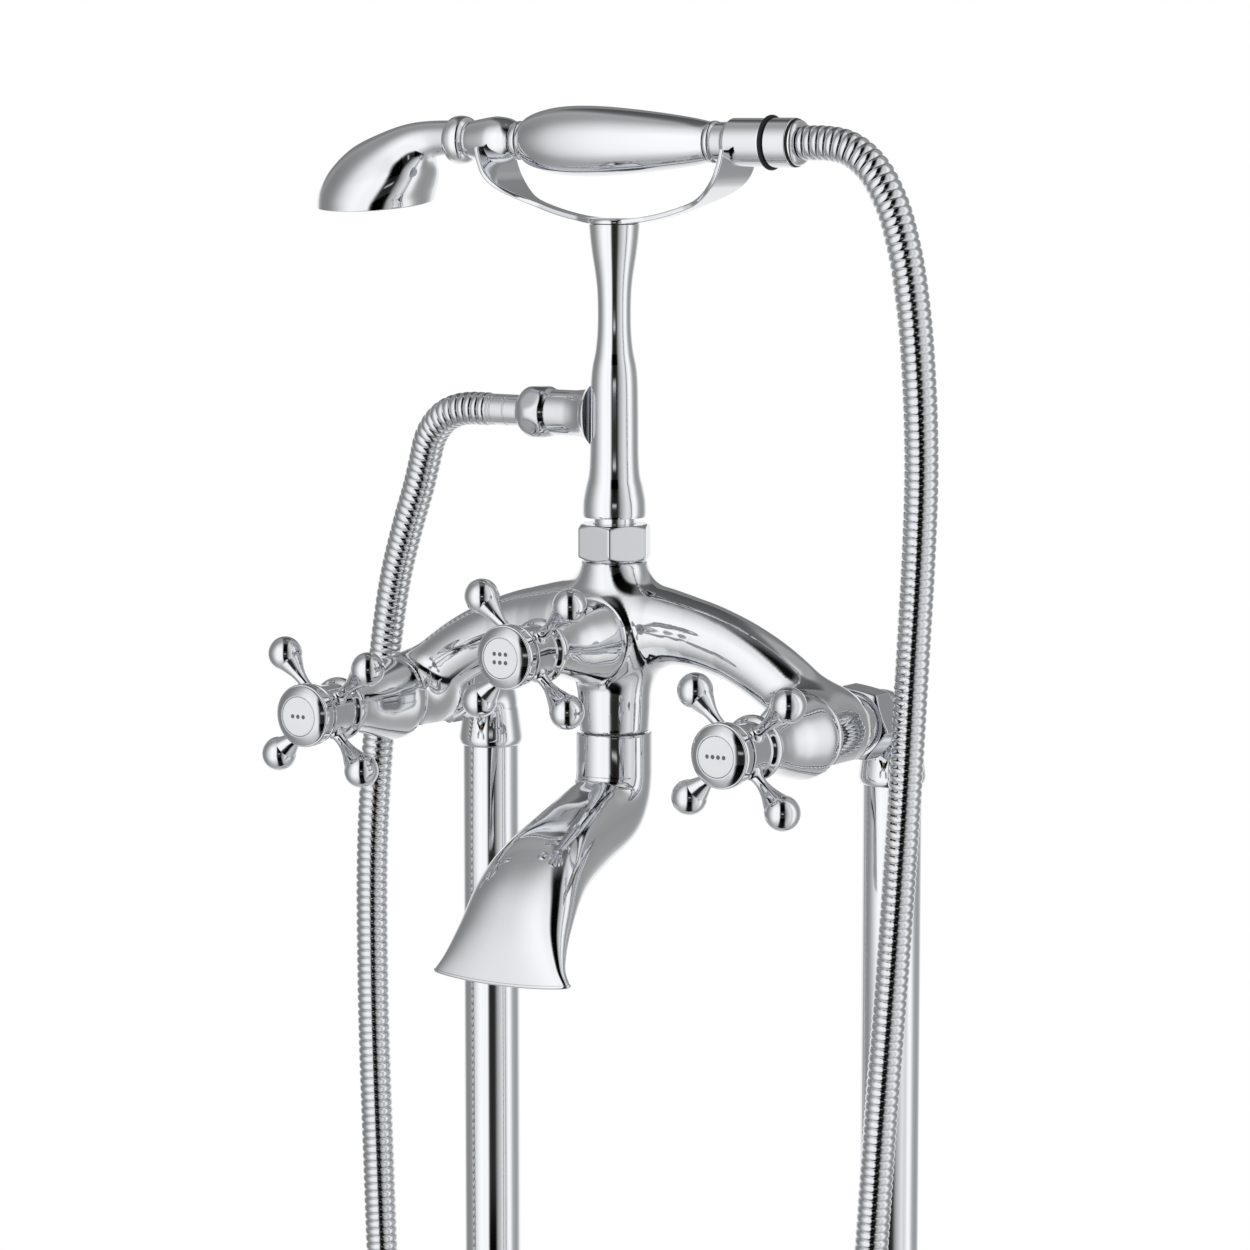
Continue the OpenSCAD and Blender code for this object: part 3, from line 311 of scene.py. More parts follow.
def lofted(rings, loop=False):
    """Points and faces through rings of points in mm. A ring of no size is one point."""
    points, rows, faces = [], [], []
    for ring in rings:
        ring = np.asarray(ring, float)
        if np.ptp(ring, axis=0).max() < 1e-5:
            ring = ring[:1]
        rows.append(range(len(points), len(points) + len(ring)))
        points += [tuple(p * MM) for p in ring]
    for low, high in zip(rows, rows[1:] + (rows[:1] if loop else [])):
        n = max(len(low), len(high))
        for k in range(n):
            m = (k + 1) % n
            corners = (low[k % len(low)], low[m % len(low)], high[m % len(high)], high[k % len(high)])
            face = dict.fromkeys(corners)
            if len(face) > 2:
                faces.append(tuple(face))
    if not loop:
        faces += [tuple(row) for row in (rows[0], rows[-1]) if len(row) > 2]
    return points, faces


def turned(outline, place, edge=0.35, steps=112, loop=False):
    """A turned body. Its outline is (radius, height) from the foot up."""
    p = list(outline) if loop else [(0, outline[0][1])] + list(outline) + [(0, outline[-1][1])]
    turn = 2 * math.pi * np.arange(steps) / steps
    rings = []
    for r, z in soften(p, edge, loop):
        rings.append(moved(np.stack([r * np.cos(turn), r * np.sin(turn), np.full(steps, z)], 1), place))
    return lofted(rings, loop)


def piece(name, shape, finish, body, slot, *stands_for, parted=38):
    """A mesh that lies where it belongs, smooth but for edges sharper than parted degrees."""
    points, faces = shape
    mesh = bpy.data.meshes.new(name)
    mesh.from_pydata(points, [], faces)
    work = bmesh.new()
    work.from_mesh(mesh)
    bmesh.ops.recalc_face_normals(work, faces=work.faces)
    work.to_mesh(mesh)
    work.free()
    mesh.polygons.foreach_set("use_smooth", [True] * len(mesh.polygons))
    mesh.set_sharp_from_angle(angle=math.radians(parted))
    mesh.materials.append(finish)
    made = bpy.data.objects.new(name, mesh)
    bpy.context.scene.collection.objects.link(made)
    if body:
        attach(made, body)
    if stands_for:
        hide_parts(*stands_for)
    return made


# Moulded EPDM is a dull black with a fine grain that scatters the little it shines.
rubber, tree, out, spot = new_finish("moulded EPDM rubber")
grain = add(tree, "ShaderNodeTexNoise", {"Scale": 1 / (0.25 * MM), "Detail": 3}, Vector=spot)
tone = add(tree, "ShaderNodeMix", {"data_type": "RGBA", "A": linear("#141416"), "B": linear("#232427")},
           i0=grain.outputs[0])
bump = add(tree, "ShaderNodeBump", {"Strength": 0.5, "Distance": 0.01 * MM}, Height=grain.outputs[0])
black = add(tree, "ShaderNodeBsdfPrincipled", {"Roughness": 0.55, "Specular IOR Level": 0.35},
            Base_Color=tone.outputs["Result"], Normal=bump.outputs[0])
tree.links.new(black.outputs[0], out.inputs["Surface"])

spun_chrome = chrome_plate("chrome plated spun brass", "#E6E8EB", 0.04, 12, 0.0008)
for side, body in ((-1, "cover_left"), (1, "cover_right")):
    hand = "left" if side < 0 else "right"
    outer = smooth(cover_edge, 8) + [np.array((18, 24.8)), np.array((18, 34.3))]
    inner = [np.array((max(r - 1.4, 13.5), z)) for r, z in outer]
    inner[-1] = np.array((11.3, 34.3))
    inner.insert(-1, np.array((11.3, 31)))
    inner.insert(-2, np.array((16.6, 30)))
    shell = outer + inner[::-1]
    bell = turned(shell, frame_at(side * leg_x, 0, 0), 0.5, 128, loop=True)
    piece("bell_cover_" + hand, bell, spun_chrome, body, "chrome", "floor_cover_" + hand)
coat(rubber, "cover_ring_left", "cover_ring_right")

# Elbows
# Hot stamped brass elbows, chrome plated. The plain skirt widens downwards over
# the solder joint on the leg's top, and the tail runs to the union nut in front.
valve_h = 740
setback = 50
elbow_r = 10.6
bend_r = 10.8
union_tail = [(7.8, 26.6), (7.8, 35)]
skirt = [(11.2, 714), (12, 714.9), (12.45, 716.4), (12.4, 718), (10.95, 728.4), (10.6, 729.3)]


def joined(*shapes):
    """Several closed shapes as one mesh."""
    points, faces = [], []
    for more, sides in shapes:
        faces += [tuple(k + len(points) for k in side) for side in sides]
        points += more
    return points, faces


def tube_rings(line, radii, sides, across=(0, 1, 0)):
    """Round rings along a line in mm, square to it."""
    ahead = np.gradient(line, axis=0)
    ahead /= np.linalg.norm(ahead, axis=1)[:, None]
    side = np.cross(ahead, across)
    side /= np.linalg.norm(side, axis=1)[:, None]
    other = np.cross(side, ahead)
    turn = 2 * math.pi * np.arange(sides) / sides
    return [line[k] + radii[k] * (np.cos(turn)[:, None] * side[k] + np.sin(turn)[:, None] * other[k])
            for k in range(len(line))]


for side in (-1, 1):
    hand = "left" if side < 0 else "right"
    bend = [np.array((0.0, 0.0, z)) for z in (727, 728)]
    bend += [np.array((0, -bend_r + bend_r * math.cos(a), valve_h - bend_r + bend_r * math.sin(a)))
             for a in np.linspace(0, math.pi / 2, 25)]
    bend += [np.array((0.0, y, valve_h)) for y in (-11.5, -14, -17.6)]
    elbow_line = np.array(bend) + (side * leg_x, 0, 0)
    shape = joined(
        turned(skirt, frame_at(side * leg_x, 0, 0), 0.5),
        lofted(tube_rings(elbow_line, [elbow_r] * len(elbow_line), 96, across=(1, 0, 0))),
        turned(union_tail, frame_at(side * leg_x, -setback, valve_h, ("X", -90))),
    )
    piece("elbow_casting_" + hand, shape, spun_chrome, "stand", "chrome", "elbow_" + hand)


# Unions
# Six-sided brass nuts, chrome plated, with turned corners. They draw the elbows
# to the bridge's threads, over a rubber washer and a nylon check valve.
def hex_nut(flats, height, bore, place, chamfer=1.7, turn_by=0.0):
    """A hexagon whose corners are turned down at both ends."""
    steps = 216
    turn = 2 * math.pi * np.arange(steps) / steps
    normals = [math.radians(60 * k + turn_by) for k in range(6)]
    face = sum(np.clip(np.cos(turn - a), 0, 1) ** 70 for a in normals) ** (-1 / 70) * flats / 2
    heights = [0, 0.12, 0.3, 0.55, 0.85, 1.2, 1.6, 2.1, 2.8, 3.6]
    heights = heights + [height / 2] + [height - h for h in heights[::-1]]
    rings = []
    for h in heights:
        cone = flats / 2 - 0.35 + chamfer * min(h, height - h)
        r = -np.log(np.exp(-6 * face) + np.exp(-6 * cone)) / 6
        rings.append(np.stack([r * np.cos(turn), r * np.sin(turn), np.full(steps, h)], 1))
    flat = flats / 2 - 1.4
    for r, h in ((flat, height), (bore, height), (bore, 0), (flat, 0)):
        rings.append(np.stack([r * np.cos(turn), r * np.sin(turn), np.full(steps, h)], 1))
    return lofted([moved(ring, place) for ring in rings], loop=True)


# Milled flats reflect flatter and a shade greyer than turned metal.
nut_chrome = chrome_plate("chrome plated milled brass", "#DADCE0", 0.05, 10, 0.0006)
nut_flats = 25
union_h = 12
for side, turn_by in ((-1, 0), (1, 40)):
    hand = "left" if side < 0 else "right"
    nut_place = frame_at(side * leg_x, -setback + 20, valve_h, ("X", -90))
    piece("union_hexagon_" + hand, hex_nut(nut_flats, union_h, 8.1, nut_place, turn_by=turn_by), nut_chrome,
          "stand", "chrome", "union_nut_" + hand, parted=50)

# Moulded nylon is a milky white that lets a little light in and is faintly waxy.
nylon, tree, out, spot = new_finish("moulded white nylon")
cloud = add(tree, "ShaderNodeTexNoise", {"Scale": 1 / (2 * MM), "Detail": 3}, Vector=spot)
tone = add(tree, "ShaderNodeMix", {"data_type": "RGBA", "A": linear("#DCD9D0"), "B": linear("#E9E7E0")},
           i0=cloud.outputs[0])
wax = add(tree, "ShaderNodeBsdfPrincipled",
          {"Roughness": 0.45, "Subsurface Weight": 0.15, "Subsurface Scale": 1 * MM},
          Base_Color=tone.outputs["Result"])
tree.links.new(wax.outputs[0], out.inputs["Surface"])
coat(rubber, "union_washers")
coat(nylon, "check_valves")

# Mixer body
# One brass casting: a cross of tubes with soft fillets, ground and chrome
# plated. The hub carries the column above, the spout below and the diverter in
# front, and the arms curve down to the two valve barrels.
grid_step = 0.9
body_low = np.array((-108.0, -18.5, 730.0))
body_high = np.array((108.0, 22.0, 799.0))
arc_r = 110.0
arc_x = 9.18
arc_z = 665.8
diverter_z = 768.0


def blended(a, b, width):
    """The smooth union of two distance fields, with a fillet about as wide as width."""
    h = np.clip(0.5 + 0.5 * (b - a) / width, 0, 1)
    return b + (a - b) * h - width * h * (1 - h)


def capped(wall, low, high, width):
    """A wall cut off at both ends, with rounded rims."""
    return -blended(-wall, -np.maximum(low, high), width)


def body_field(p):
    x, y, z = p[..., 0], p[..., 1], p[..., 2]
    out = np.sqrt(x * x + 25.0)
    stem_r = np.interp(z, [732.8, 741, 752, 770, 788, 797], [12.9, 13.4, 13.8, 13.8, 12.9, 12.2])
    stem = capped(np.hypot(x, y) - stem_r, 732.8 - z, z - 796.3, 1.2)
    arm_r = np.interp(out, [5, 22, 30, 36, 50, 75, 90], [15, 14.2, 13, 12.4, 11.7, 11.6, 12])
    sunk = np.interp(out, [5, 22, 30, 36, 50, 75, 90], [1.5, 1.5, 1, 0.7, 0, -0.5, 0])
    arm = np.hypot(np.hypot(out - arc_x, z + sunk - arc_z) - arc_r, y) - arm_r
    arm = np.maximum(arm, (out - 92) * 0.73 + (740 - z) * 0.68)
    off = np.hypot(np.abs(x) - leg_x, z - valve_h)
    barrel_wall = off - np.interp(y, [-16, 0, 5.4, 9, 11.2, 12.5], [15.5, 15.5, 15.2, 14.2, 12.4, 10.9])
    barrel = capped(barrel_wall, -15.9 - y, y - 11.6, 1.6)
    boss = capped(np.hypot(x, z - diverter_z) - 15.6, -15.9 - y, y - 4, 1.6)
    whole = blended(stem, arm, np.interp(z, [758, 785], [16.0, 9.0]))
    whole = blended(whole, boss, 4.5)
    return blended(whole, barrel, 7.0)


def netted(field, low, high, step):
    """A smooth skin on a field's zero surface: one point in each cell that it crosses."""
    counts = np.ceil((high - low) / step).astype(int) + 1
    axes = [low[k] + step * np.arange(counts[k]) for k in range(3)]
    value = field(np.stack(np.meshgrid(*axes, indexing="ij"), -1))
    inside = value < 0
    cells = np.zeros(counts - 1, int)
    for dx in (0, 1):
        for dy in (0, 1):
            for dz in (0, 1):
                cells += inside[dx:counts[0] - 1 + dx, dy:counts[1] - 1 + dy, dz:counts[2] - 1 + dz]
    mixed = (cells > 0) & (cells < 8)
    number = -np.ones(mixed.shape, int)
    number[mixed] = np.arange(mixed.sum())
    points = low + step * (np.argwhere(mixed) + 0.5)
    for _ in range(7):
        here = field(points)
        tilt = np.stack([(field(points + d) - field(points - d)) / 0.1 for d in np.eye(3) * 0.05], -1)
        points -= np.clip(here / np.maximum((tilt ** 2).sum(-1), 0.3), -0.8, 0.8)[:, None] * tilt
    faces = []
    for axis in range(3):
        lead = [slice(1, -1)] * 3
        lead[axis] = slice(0, -1)
        follow = [slice(1, -1)] * 3
        follow[axis] = slice(1, None)
        crossed = np.argwhere(inside[tuple(lead)] != inside[tuple(follow)])
        crossed += [0 if k == axis else 1 for k in range(3)]
        b, c = [k for k in range(3) if k != axis]
        corners = []
        for db, dc in ((-1, -1), (0, -1), (0, 0), (-1, 0)):
            at = crossed.copy()
            at[:, b] += db
            at[:, c] += dc
            corners.append(number[at[:, 0], at[:, 1], at[:, 2]])
        faces += [tuple(int(k) for k in row) for row in np.stack(corners, 1)]
    return points, faces


cast_chrome = chrome_plate("chrome plated brass casting", "#E4E6E9", 0.04, 14, 0.0012)
body_points, body_faces = netted(body_field, body_low, body_high, grid_step)
socket_line = [(11.2, 9), (11.2, 19.7)]
thread_line = [(9.9, 19), (9.9, 25)]
top_thread = [(9.9, 796), (9.9, 804.3)]
tails = [frame_at(side * leg_x, -setback, valve_h, ("X", -90)) for side in (-1, 1)]
body_shape = joined(
    ([tuple((p + (0, -setback, 0)) * MM) for p in body_points], body_faces),
    *[turned(socket_line, tail_place, 0.7) for tail_place in tails],
    *[turned(thread_line, tail_place) for tail_place in tails],
    turned(top_thread, frame_at(0, -setback, 0)),
)
piece("bridge_casting", body_shape, cast_chrome, "stand", "chrome", "mixer_body")

# Cartridges
# Brass bodies with a milled flange, ceramic discs that turn against their floor,
# and the spindles that drive them. All of it is hidden once a valve is closed up.
def metal(name, light, dark, lines_mm, rough):
    """Bare machined metal: fine turning lines, and small shifts of colour and shine."""
    finish, tree, out, spot = new_finish(name)
    lines = add(tree, "ShaderNodeTexWave", {"Scale": 0.05 / (lines_mm * MM), "Distortion": 0.4, "Detail": 2},
                Vector=spot)
    cloud = add(tree, "ShaderNodeTexNoise", {"Scale": 1 / (5 * MM), "Detail": 4}, Vector=spot)
    tone = add(tree, "ShaderNodeMix", {"data_type": "RGBA", "A": linear(light), "B": linear(dark)},
               i0=cloud.outputs[0])
    shine = add(tree, "ShaderNodeMapRange", {"To Min": rough, "To Max": rough * 1.5}, Value=cloud.outputs[0])
    bump = add(tree, "ShaderNodeBump", {"Strength": 0.4, "Distance": 0.01 * MM}, Height=lines.outputs["Fac"])
    bare = add(tree, "ShaderNodeBsdfPrincipled", {"Metallic": 1}, Base_Color=tone.outputs["Result"],
               Roughness=shine.outputs[0], Normal=bump.outputs[0])
    tree.links.new(bare.outputs[0], out.inputs["Surface"])
    return finish


# Machined brass keeps fine turning lines and browns a little with age.
brass = metal("machined brass", "#C9A458", "#A98241", 0.2, 0.24)
# Ground alumina is a dense bright white with a silky shine.
alumina, tree, out, spot = new_finish("ground alumina ceramic")
grain = add(tree, "ShaderNodeTexNoise", {"Scale": 1 / (0.6 * MM), "Detail": 4}, Vector=spot)
tone = add(tree, "ShaderNodeMix", {"data_type": "RGBA", "A": linear("#E7E4DC"), "B": linear("#F3F1EB")},
           i0=grain.outputs[0])
silk = add(tree, "ShaderNodeMapRange", {"To Min": 0.16, "To Max": 0.28}, Value=grain.outputs[0])
disc = add(tree, "ShaderNodeBsdfPrincipled", (), Base_Color=tone.outputs["Result"], Roughness=silk.outputs[0])
tree.links.new(disc.outputs[0], out.inputs["Surface"])
valves = {"hot": (-leg_x, valve_h, -5.0), "cold": (leg_x, valve_h, -3.5), "diverter": (0, diverter_z, -2.0)}
coat(brass, *["cartridge_" + name for name in valves], *["spindle_" + name for name in valves])
coat(alumina, "ceramic_disc_hot", "ceramic_disc_cold", "diverter_drum")

# Valve shrouds
# Turned brass domes, chrome plated, that screw down over the cartridges and hide
# the spindle guides.
shroud = smooth([(15.5, 16.1), (15.5, 18.4), (15.2, 20.2), (14.4, 23.4), (13.1, 28.3), (11.7, 33.2),
                 (10.5, 38), (9.85, 42.3), (9.6, 45.3), (9.1, 46.5)], 6)
for name, (x, z, _) in valves.items():
    piece("dome_" + name, turned(shroud, frame_at(x, -setback, z, ("X", 90))), spun_chrome, "stand", "chrome",
          "shroud_" + name)

# Cross handles
# Cast brass crosses, chrome plated: a turned hub with four necks that end in
# balls. A brass screw holds each on its spindle, and it turns with the spindle.
hub = [
    (9.9, 48), (11.3, 48.4), (11.8, 49.1), (11.8, 49.8), (11.55, 50.5), (11.0, 51.2), (10.3, 51.7),
    (9.6, 52.1), (9.5, 52.8), (9.8, 58), (9.9, 64.2), (10.5, 64.9), (11.1, 65.4), (11.1, 66.2),
    (10.3, 66.6), (10.3, 67.4), (11.3, 67.9), (11.8, 68.8), (11.8, 71.6), (11.5, 72.5),
]
neck = smooth([(3.4, 8.2), (3.3, 9.6), (2.9, 10.6), (2.3, 11.4), (2.1, 13.2), (2.2, 15.4), (2.85, 18),
               (3.8, 20.4), (4.74, 22.6)], 5)
ball_r = 6.4
reach = 26.9
arm_out = 59.5
ball = [(ball_r * math.sin(a), reach - ball_r * math.cos(a)) for a in np.linspace(0.83, math.pi - 0.02, 36)]
for name, (x, z, twist) in valves.items():
    arms = []
    for k in range(4):
        arm_place = frame_at(x, -setback, z, ("X", 90), ("Z", twist + 45 + 90 * k))
        arm_place = arm_place @ frame_at(0, 0, arm_out, ("Y", 90))
        arms.append(turned(neck + ball, arm_place, 0.1, 72))
    piece("cross_" + name, joined(turned(hub, frame_at(x, -setback, z, ("X", 90)), 0.5), *arms), cast_chrome,
          "handle_" + name, "chrome", "handle_" + name)
coat(brass, *["handle_screw_" + name for name in valves])

# Index caps
# A bevelled chrome rim with a glazed porcelain face, pressed into each handle.
# The face carries a few plain dots fired on: a row on each tap, two rows on the
# diverter.
cap_rim = [(8.2, 72.6), (10.9, 72.6), (11.1, 72.8), (10.95, 73.05), (9.95, 73.8),
           (8.85, 74.45), (7.8, 74.9), (7.45, 74.9), (7.3, 74.6), (7.3, 73.6)]
face_edge = [(7.25, 73.4), (7.25, 74.55), (7.1, 74.75), (5.2, 74.9), (2.6, 74.98), (0.2, 75)]
face_top = 75
face_fall = 0.005
dot_r = 0.8
dots = {
    "hot": [(x, 0) for x in (-2.4, 0, 2.4)],
    "cold": [(x, 0) for x in (-3.3, -1.1, 1.1, 3.3)],
    "diverter": [(x, y) for x in (-2.4, 0, 2.4) for y in (-1.5, 1.5)],
}
# Glazed porcelain: a cool white body under clear glass, so a sharp gloss on a soft white.
porcelain, tree, out, spot = new_finish("glazed porcelain")
cloud = add(tree, "ShaderNodeTexNoise", {"Scale": 1 / (6 * MM), "Detail": 3}, Vector=spot)
tone = add(tree, "ShaderNodeMix", {"data_type": "RGBA", "A": linear("#DDE0E3"), "B": linear("#E6E8EA")},
           i0=cloud.outputs[0])
glaze = add(tree, "ShaderNodeBsdfPrincipled", {"Roughness": 0.12}, Base_Color=tone.outputs["Result"])
tree.links.new(glaze.outputs[0], out.inputs["Surface"])
# Fired enamel is a dark grey that thins out unevenly over the white.
enamel, tree, out, spot = new_finish("fired dark enamel")
cloud = add(tree, "ShaderNodeTexNoise", {"Scale": 1 / (0.8 * MM), "Detail": 2}, Vector=spot)
tone = add(tree, "ShaderNodeMix", {"data_type": "RGBA", "A": linear("#44474C"), "B": linear("#6A6D73")},
           i0=cloud.outputs[0])
glaze = add(tree, "ShaderNodeBsdfPrincipled", {"Roughness": 0.25}, Base_Color=tone.outputs["Result"])
tree.links.new(glaze.outputs[0], out.inputs["Surface"])
for name, (x, z, twist) in valves.items():
    cap_place = frame_at(x, -setback, z, ("X", 90))
    body = "handle_" + name
    piece("cap_rim_" + name, turned(cap_rim, cap_place, 0.15, loop=True), nut_chrome, body, "chrome",
          "index_" + name)
    piece("cap_face_" + name, turned(face_edge, cap_place, 0.2), porcelain, body, "porcelain",
          "index_" + name)
    marks = []
    for a, b in dots[name]:
        top = face_top - face_fall * (a * a + b * b)
        marks.append(turned([(dot_r, top - 0.3), (dot_r, top + 0.02), (dot_r * 0.6, top + 0.05)],
                            cap_place @ frame_at(a, b, 0), 0.05, 24))
    piece("cap_marks_" + name, joined(*marks), enamel, body, "porcelain", "index_" + name)

# Spout
# A cast brass fishtail, chrome plated, that swivels on its spigot. It turns from
# a round tube to a flat mouth 58 mm wide with a rolled lip. Each station is reach,
# drop, tilt of the flow, width, thickness and how square the section is.
seam_z = 732.5
spout_drop = 81.0
spout_stations = [
    (0, 15.3, 90, 28.2, 28.2, 0), (2.1, 22.8, 66, 28.2, 28, 0.1), (10.2, 29.7, 41, 28.4, 26.8, 0.6),
    (27.2, 36.2, 25, 31, 24.5, 0.6), (45.8, 43.8, 32, 36.5, 23, 0.5), (57.5, 52.6, 47, 41.5, 20, 0.45),
    (66.5, 65, 67, 45.6, 15, 0.45), (72.5, 75.2, 82, 51.2, 9.4, 0.5), (74.4, spout_drop, 90, 57.6, 7.5, 0.6),
]
spout_sides = 120
lip_lift = 1.5


def spout_ring(station, inset):
    away, drop, tilt, wide, thick, square = station
    turn = 2 * math.pi * np.arange(spout_sides) / spout_sides
    power = 2 / (2 + 1.4 * square)
    u = (wide / 2 - inset) * np.sign(np.cos(turn)) * np.abs(np.cos(turn)) ** power
    v = (thick / 2 - inset) * np.sign(np.sin(turn)) * np.abs(np.sin(turn)) ** power
    tilt = math.radians(tilt)
    lift = lip_lift * (2 * u / wide) ** 2 * np.clip((drop - 60) / (spout_drop - 60), 0, 1)
    return np.stack([u, -setback - away - v * math.sin(tilt), seam_z - drop + lift + v * math.cos(tilt)], 1)


def lowered(ring, depth):
    return ring - (0, 0, depth)


def raised(ring, z):
    return np.stack([ring[:, 0], ring[:, 1], np.full(len(ring), z)], 1)


spout_path = smooth(spout_stations, 9)
top_ring = spout_ring(spout_path[0], 0)
rings = [raised(spout_ring(spout_path[0], 1.2), seam_z), raised(spout_ring(spout_path[0], 0.4), seam_z),
         raised(spout_ring(spout_path[0], 0.12), seam_z - 0.12), raised(top_ring, seam_z - 0.45),
         raised(top_ring, seam_z - 1)]
rings += [spout_ring(s, 0) for s in spout_path]
lip = spout_path[-1]
lip_roll = [(-0.35, 0.1), (-0.5, 0.45), (-0.45, 0.85), (-0.15, 1.2), (0.35, 1.35), (0.9, 1.35), (1.3, 1.1)]
spout_wall = 1.5
rings += [lowered(spout_ring(lip, inset), depth) for inset, depth in lip_roll]
rings += [spout_ring(s, spout_wall) for s in spout_path[::-1]]
rings.append(raised(spout_ring(spout_path[0], spout_wall), seam_z - 3))
spigot = [(7.5, seam_z - 4), (7.5, seam_z + 24), (10, seam_z + 24), (10, seam_z + 19.2), (8.5, seam_z + 19.2),
          (8.5, seam_z + 14.8), (10, seam_z + 14.8), (10, seam_z - 4)]
spout_shape = joined(lofted(rings), turned(spigot, frame_at(0, -setback, 0), loop=True))
piece("fishtail", spout_shape, cast_chrome, "spout", "chrome", "spout")
coat(rubber, "spout_orings")
coat(nylon, "spout_bush", "flow_straightener")
coat(nut_chrome, "spout_screw")

# Column nut
# The same kind of nut, which holds the column down on the bridge over a washer.
column_nut_h = 13.1
column_nut = hex_nut(nut_flats, column_nut_h, 7.9, frame_at(0, -setback, 796.8), turn_by=25)
piece("column_hexagon", column_nut, nut_chrome, "stand", "chrome", "column_nut", parted=50)
coat(rubber, "column_washer")

# Column
# A turned brass baluster, chrome plated, with the hose outlet brazed on as a
# branch. Waterways run up it from the bridge.
column = smooth([(11.56, 812.5), (11.8, 814.1), (11.62, 818.8), (10.62, 824), (9.62, 828.2), (9.15, 835.5),
                 (9.03, 850.1), (8.85, 861.6), (8.26, 867.9), (7.08, 873.6), (6.37, 880.4), (6.22, 887.7),
                 (6.43, 895.1), (7.08, 901.3), (8.26, 908.6), (8.97, 913.9), (9.3, 917.5), (9.5, 919.9)], 7)
branch_place = frame_at(0, -setback, 850, ("Y", -90))
branch = smooth([(12.3, 6.8), (10.4, 9.4), (9.2, 12.5), (8.6, 16.1), (8.5, 19.5), (8.5, 26)], 6)
baluster = joined(
    turned(column, frame_at(0, -setback, 0), 0.5),
    turned([(7.6, 806), (7.6, 814)], frame_at(0, -setback, 0)),
    turned(branch, branch_place, 0.4),
    turned([(7.6, 25), (7.6, 33)], branch_place),
)
piece("baluster", baluster, tube_chrome, "stand", "chrome", "column")

# Cradle
# A forged brass strap, chrome plated, bowed like a pair of horns that widen from
# a narrow waist. A plated screw holds it on the column, and the handset rests in
# the round seats at its ends.
hand_z = 950.0
strap_t = 1.9
bow_z = 918.5
bow = [(0, 1.3), (6.5, 1.5), (13.5, 2.3), (22.1, 4.0), (30.2, 6.3), (38.5, 9.4), (45.9, 13.6), (50.5, 18.2),
       (52.9, 23.6), (54, 28)]
bow = [np.array((x, bow_z + z)) for x, z in smooth(bow, 8)]
waist = [(0, 7), (8, 6), (14, 3.6), (32, 3), (36, 3.6), (39, 5), (42.5, 7.3), (46.5, 10), (49, 11.3),
         (51.5, 12.2), (54, 12.4)]
half = [(-x, z) for x, z in bow[:0:-1]] + [(x, z) for x, z in bow]
strap_line = np.array(half)
tangent = np.gradient(strap_line, axis=0)
tangent /= np.linalg.norm(tangent, axis=1)[:, None]
inward = np.stack([-tangent[:, 1], tangent[:, 0]], 1)
saddle_r = 9.2
rings = []
for k, (x, z) in enumerate(strap_line):
    half_w = np.interp(abs(x), [a for a, _ in waist], [b for _, b in waist])
    section = soften([(-half_w, 0), (half_w, 0), (half_w, strap_t), (-half_w, strap_t)], 0.6, loop=True)
    rings.append(np.array([(x + inward[k][0] * deep, across - setback, z + inward[k][1] * deep)
                           for across, deep in section]))


def saddled(ring):
    """Lowers a strap's end to the round seat."""
    out = ring.copy()
    y = out[:, 1] + setback
    seat = hand_z - np.sqrt(np.maximum(saddle_r ** 2 - y ** 2, 0)) * (np.abs(y) < saddle_r)
    out[:, 2] = np.minimum(out[:, 2], seat)
    return out


tip_rise = (0.0, 0.0, 0.9)
rings = [saddled(r) for r in [rings[0] + tip_rise] + rings + [rings[-1] + tip_rise]]
foot = [(8.8, 919.95), (9.4, 920.2), (9.4, 921.2), (8.9, 921.8), (7, 922.1)]
piece("bowed_strap", joined(lofted(rings), turned(foot, frame_at(0, -setback, 0), 0.4)), cast_chrome, "stand",
      "chrome", "cradle", parted=45)
coat(nut_chrome, "cradle_screw")

# Handset
# Turned brass parts, chrome plated, on one hollow core: collar, neck, rings and
# grip, and the tailpiece whose thread takes the hose nut. Black rings seal both
# ends of the nut.
hand_place = frame_at(0, -setback, hand_z, ("Y", 90))
collar = smooth([(7.4, -72), (8.6, -70.5), (9, -68.6), (9, -66.9), (8.5, -65), (7.2, -63.85)], 6)
neck_bulb = smooth([(6.7, -63.8), (7.6, -60), (8.6, -54.1), (8.8, -50.8), (8.2, -46.6), (6.9, -43.4),
                    (6.5, -42.85)], 6)
grip = smooth([(7, -39.2), (9.3, -36), (11.2, -30.3), (12.45, -23.1), (12.9, -14.2), (12.6, -2.9),
               (11.5, 10.8), (10.2, 22.9), (8.8, 33.4), (7.6, 39.9), (7.35, 41.5)], 8)
front_bead = [(6.3, -42.8), (7.2, -41.8), (7.2, -40.2), (6.3, -39.2)]
rear_bead = [(6.8, 41.5), (7.7, 42.5), (7.7, 43.7), (6.8, 44.7)]
tail = [(7.2, 44.7), (7.3, 49.4), (8.1, 50.3), (8.7, 51.2), (8.7, 65.6), (8.4, 66.2)]
nut_tube = [(8.5, 67.65), (8.9, 68.1), (8.9, 76.7), (8.6, 77)]
nut_end = [(7.9, 77.65), (8.3, 77.9), (8.2, 78.6), (7.6, 79.3), (6.6, 79.6)]
hand_parts = (
    ("neck_collar", [collar], "handset_collar"),
    ("neck_bulb", [neck_bulb], "handset_neck"),
    ("grip_beads", [front_bead, rear_bead], "grip_rings"),
    ("grip_barrel", [grip], "handset_grip"),
    ("tail_socket", [tail, [(7.6, 65), (7.6, 72)]], "handset_tail"),
    ("hose_collar", [nut_tube, nut_end], "hose_nut_handset"),
)
for name, outlines, node in hand_parts:
    shape = joined(*[turned(line, hand_place, 0.4, 128) for line in outlines])
    piece(name, shape, tube_chrome, "handset", "chrome", node)
